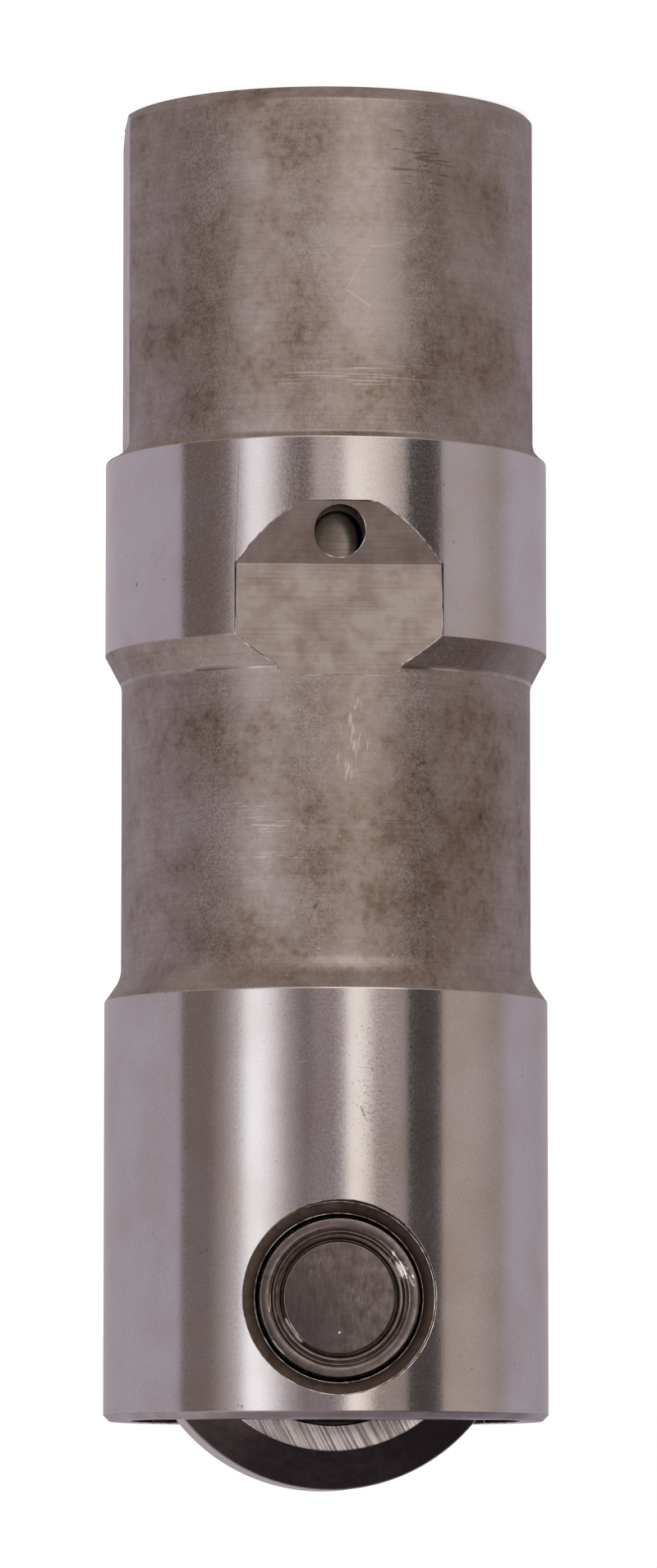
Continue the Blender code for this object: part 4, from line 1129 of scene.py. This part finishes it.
# Case-hardened steel: grey brown and satin, with turning lines round it.
cup_steel = machined_steel(
    "case_hardened_cup_steel", "#A29B96", "#7C736B", 0.26, (2.5 * MM, 2.5 * MM, 0.1 * MM), 0.002 * MM
)
socket_turns = [
    math.acos(SEAT_HOLE_RADIUS / SOCKET_RADIUS) * (1 - step / SOCKET_STEPS)
    for step in range(SOCKET_STEPS + 1)
]
cup_shape = turned(
    [
        (PLUNGER_RADIUS - SEAT_EDGE, 0.0), (PLUNGER_RADIUS, SEAT_EDGE),
        (PLUNGER_RADIUS, SEAT_LENGTH - SEAT_EDGE), (PLUNGER_RADIUS - SEAT_EDGE, SEAT_LENGTH),
        (DISC_POCKET_RADIUS, SEAT_LENGTH), (DISC_POCKET_RADIUS, DISC_POCKET_Z),
        (SEAT_HOLE_RADIUS, DISC_POCKET_Z),
    ]
    + [
        (SOCKET_RADIUS * math.cos(turn), SOCKET_STRAIGHT + SOCKET_RADIUS * math.sin(turn), 0.0)
        for turn in socket_turns
    ]
    + [(SOCKET_RADIUS, SOCKET_CHAMFER), (SOCKET_RADIUS + SOCKET_CHAMFER, 0.0)],
    LATHE_STEPS // 2, at_z=SEAT_Z,
)
finished(
    "pushrod_cup", loose_object("pushrod_cup", cup_shape, cup_steel), "plunger_group", "seat_steel",
    "pushrod_seat",
)

# Snap ring
# Round spring wire bent to an open ring, which is squeezed through the bore's mouth and springs out into
# its groove. It keeps the cup, and all that is behind it, in the bore.
RING_Z = 3.55 * MM
RING_RADIUS = 8.2 * MM
RING_WIRE_RADIUS = 0.55 * MM
RING_OPENING = math.radians(28)
RING_CUT_ANGLE = math.radians(60)
RING_END_BREAK = 0.1 * MM

# Phosphated wire: dark and matt, as the coating holds its oil.
ring_steel = machined_steel(
    "phosphated_ring_wire", "#77716B", "#4E4843", 0.4, (0.8 * MM, 0.8 * MM, 0.2 * MM), 0.003 * MM
)
ring_shape = coiled(RING_RADIUS, RING_WIRE_RADIUS, RING_Z, [(1 - RING_OPENING / (2 * math.pi), 0.0)])
bmesh.ops.rotate(
    ring_shape, verts=ring_shape.verts, matrix=Matrix.Rotation(math.pi / 2 + RING_OPENING / 2, 3, "Z")
)
ring = loose_object("snap_ring", ring_shape, ring_steel)
broken_edges(ring, RING_CUT_ANGLE, RING_END_BREAK)
finished("snap_ring", ring, "body", "ring_steel", "retaining_ring")

# Roller
# A ring of bearing steel that runs on the cam. Its tread is polished, the two cones beside it are painted
# near-black to stand in for the dark they mirror, and its faces are ground on a flat plate, which leaves
# straight scratches across them.
ROLLER_RADIUS = 8.94 * MM
ROLLER_HALF_TREAD = 3.3 * MM
ROLLER_HALF_WIDTH = 5.0 * MM
ROLLER_FACE_RADIUS = 7.08 * MM
ROLLER_MOUTH_RADIUS = 5.9 * MM
ROLLER_MOUTH_DEPTH = 0.5 * MM
ROLLER_BORE_RADIUS = 5.3 * MM
TREAD_ROUND = 0.12 * MM
FACE_SCRATCH = 0.09 * MM
FACE_SCRATCH_RUN = 3.5 * MM
FACE_SCRATCH_TILT = math.radians(-28)

# The tread mirrors the tent, the cones only its lights, and the faces glint along their scratches.
roller_steel = machined_steel(
    "polished_roller_steel", "#A8A3A3", "#8E8888", 0.1, (0.4 * MM, 0.4 * MM, 0.4 * MM), 0.0004 * MM
)
roller_face_steel = machined_steel(
    "plate_ground_steel", "#EFECEB", "#8A8280", 0.26, (FACE_SCRATCH, 4.0 * MM, FACE_SCRATCH_RUN), 0.006 * MM,
    tilt=FACE_SCRATCH_TILT, mark_share=0.8,
)
# Painted reflection: the cones' near-black tone stands in for the dark they mirror.
roller_cone_steel = machined_steel(
    "dark_painted_cone_steel", "#544C4E", "#443D3E", 0.22, (0.4 * MM, 0.4 * MM, 0.4 * MM), 0.001 * MM
)
half_roller = [
    (ROLLER_RADIUS, ROLLER_HALF_TREAD, TREAD_ROUND), (ROLLER_FACE_RADIUS, ROLLER_HALF_WIDTH),
    (ROLLER_MOUTH_RADIUS, ROLLER_HALF_WIDTH), (ROLLER_MOUTH_RADIUS, ROLLER_HALF_WIDTH - ROLLER_MOUTH_DEPTH),
    (ROLLER_BORE_RADIUS, ROLLER_HALF_WIDTH - ROLLER_MOUTH_DEPTH),
]
roller_outline = [(radius, -height, *rest) for radius, height, *rest in reversed(half_roller)] + half_roller
roller_shape = turned(roller_outline, LATHE_STEPS, at_z=AXLE_Z, along_y=True)
TREAD, FACE, CONE = range(3)
for face in roller_shape.faces:
    height = abs(face.calc_center_median().y)
    face.material_index = TREAD
    if height > ROLLER_HALF_WIDTH - EDGE_BREAK / 2:
        face.material_index = FACE
    elif height > ROLLER_HALF_TREAD + EDGE_BREAK:
        face.material_index = CONE
finished(
    "cam_follower_roller",
    loose_object(
        "cam_follower_roller", roller_shape, roller_steel, roller_face_steel, roller_cone_steel
    ),
    "roller", "roller_steel", "cam_roller",
)

# Needle rollers
# Seventeen hard pins with rounded ends fill the space between the roller and its axle. They touch nothing
# but those two and each other, so they need no cage.
NEEDLE_RADIUS = 0.8 * MM
NEEDLE_HALF_LENGTH = 4.5 * MM
NEEDLE_END_ROUND = 0.2 * MM
NEEDLE_PITCH_RADIUS = 4.45 * MM
NEEDLE_COUNT = 17
NEEDLE_STEPS = 24

# Superfinished steel: bright all over, with faint lines along each pin.
needle_steel = machined_steel(
    "superfinished_needle_steel", "#D2CFCC", "#B7B1AC", 0.1, (0.1 * MM, 2.0 * MM, 0.1 * MM), 0.0006 * MM
)
for index in range(NEEDLE_COUNT):
    turn = 2 * math.pi * index / NEEDLE_COUNT
    needle_shape = turned(
        [
            (0.0, -NEEDLE_HALF_LENGTH), (NEEDLE_RADIUS, -NEEDLE_HALF_LENGTH, NEEDLE_END_ROUND),
            (NEEDLE_RADIUS, NEEDLE_HALF_LENGTH, NEEDLE_END_ROUND), (0.0, NEEDLE_HALF_LENGTH),
        ],
        NEEDLE_STEPS, at_z=AXLE_Z, along_y=True,
    )
    bmesh.ops.translate(
        needle_shape, verts=needle_shape.verts,
        vec=(NEEDLE_PITCH_RADIUS * math.cos(turn), 0.0, -NEEDLE_PITCH_RADIUS * math.sin(turn)),
    )
    number = f"{index + 1:02d}"
    finished(
        f"needle_pin_{number}", loose_object("needle_pin", needle_shape, needle_steel), "needle_set",
        "needle_steel", f"needle_{number}",
    )

# Axle
# A soft-ended hard pin. A ring-shaped punch swages each end out into the body's countersink, which leaves
# a groove, a ridge and a sunk disc on the end and a thin rim where the metal has moved. The rim is painted
# lighter, which offsets the shade that the counterbore casts on it.
AXLE_RADIUS = 3.6 * MM
AXLE_END = 9.7 * MM
SWAGE_RADIUS = 3.8 * MM
RIM_RADIUS = 3.2 * MM
SQUARE_TO_END = 0.98
AXLE_SCRATCH = "#B5ACA8"
AXLE_BURR_AND_HIGHLIGHT = "#FFFDFB"
# The bright marks on the rings are mostly painted highlights, crescents and thin edges where the rings face
# the light, with a burr among them.
AXLE_MARKS = (
    ((0.9, -9.7, AXLE_Z / MM - 1.5), (1.1, 1.0, 1.0), (0.05, 0.1, 0.4), 0.35, 0.22, 0.4, AXLE_SCRATCH),
    ((-0.9, -9.7, AXLE_Z / MM), (1.0, 1.0, 2.0), (0.05, 0.1, 0.4), -0.1, 0.17, 0.35, AXLE_SCRATCH),
    ((0.0, -9.6, AXLE_Z / MM + 1.64), (0.1, 0.2, 0.1), (0.5, 0.5, 0.5), 0.0, 0.8, 0.9, AXLE_BURR_AND_HIGHLIGHT),
    ((-2.95, -9.6, AXLE_Z / MM - 1.35), (0.42, 0.6, 1.15), (0.1, 0.2, 0.3), -0.6, 0.5, 1.0, AXLE_BURR_AND_HIGHLIGHT),
    ((2.99, -9.6, AXLE_Z / MM + 2.32), (0.14, 0.6, 1.3), (0.3, 0.3, 0.8), -0.66, 0.6, 0.75, AXLE_BURR_AND_HIGHLIGHT),
    ((2.17, -9.6, AXLE_Z / MM + 1.5), (0.12, 0.6, 0.9), (0.3, 0.3, 0.8), -0.6, 0.6, 0.75, AXLE_BURR_AND_HIGHLIGHT),
    ((3.28, -9.6, AXLE_Z / MM + 0.2), (0.08, 0.6, 1.0), (0.3, 0.3, 0.8), 0.0, 0.5, 0.4, AXLE_BURR_AND_HIGHLIGHT),
    ((2.94, -9.6, AXLE_Z / MM + 0.2), (0.08, 0.6, 1.0), (0.3, 0.3, 0.8), 0.0, 0.5, 0.4, AXLE_BURR_AND_HIGHLIGHT),
    ((0.0, -9.6, AXLE_Z / MM - 3.74), (0.1, 0.6, 1.8), (0.3, 0.3, 0.8), math.pi / 2, 0.5, 0.5, AXLE_BURR_AND_HIGHLIGHT),
)
# The end's corners from the pin's side to its middle, in mm: radius, depth under the end and rounding.
END_STEPS = (
    (AXLE_RADIUS / MM, 0.8, 0.0), (SWAGE_RADIUS / MM, 0.45, 0.0), (SWAGE_RADIUS / MM, 0.0, 0.14),
    (3.28, 0.0, 0.1), (3.12, 0.2, 0.08),
    (2.96, 0.0, 0.1), (2.84, 0.04, 0.06), (2.7, 0.3, 0.06), (2.62, 0.1, 0.07), (0.0, 0.1),
)

# The sunk disc is dark and torn where the punch sheared it. The rim is smoother, and the marks put a few
# scratches on the disc, and bright crescents and a burr along the rings. The crescents and the thin bright
# edges on the rings are painted highlights.
axle_steel = machined_steel(
    "sheared_axle_steel", "#766D6D", "#5F5654", 0.27, (0.1 * MM, 0.14 * MM, 0.5 * MM), 0.002 * MM,
    cloud_size=0.5 * MM, patches=AXLE_MARKS,
)
# Painted light: the rim's lighter tone offsets the shade that the counterbore's walls cast on it.
rim_steel = machined_steel(
    "swaged_rim_steel", "#877E7C", "#6E655E", 0.16, (0.3 * MM, 0.3 * MM, 0.3 * MM), 0.001 * MM,
    cloud_size=0.7 * MM, patches=AXLE_MARKS,
)
end_outline = [
    (radius * MM, AXLE_END - depth * MM, *[rounding * MM for rounding in rest])
    for radius, depth, *rest in END_STEPS
]
axle_outline = [(radius, -height, *rest) for radius, height, *rest in reversed(end_outline)] + end_outline
axle_shape = turned(axle_outline, LATHE_STEPS // 2, at_z=AXLE_Z, along_y=True)
DISC, RIM = range(2)
for face in axle_shape.faces:
    middle = face.calc_center_median()
    face.material_index = DISC
    if abs(face.normal.y) < SQUARE_TO_END or math.hypot(middle.x, middle.z - AXLE_Z) > RIM_RADIUS:
        face.material_index = RIM
finished(
    "swaged_axle", loose_object("swaged_axle", axle_shape, axle_steel, rim_steel), "body", "axle_steel",
    "roller_axle"
)
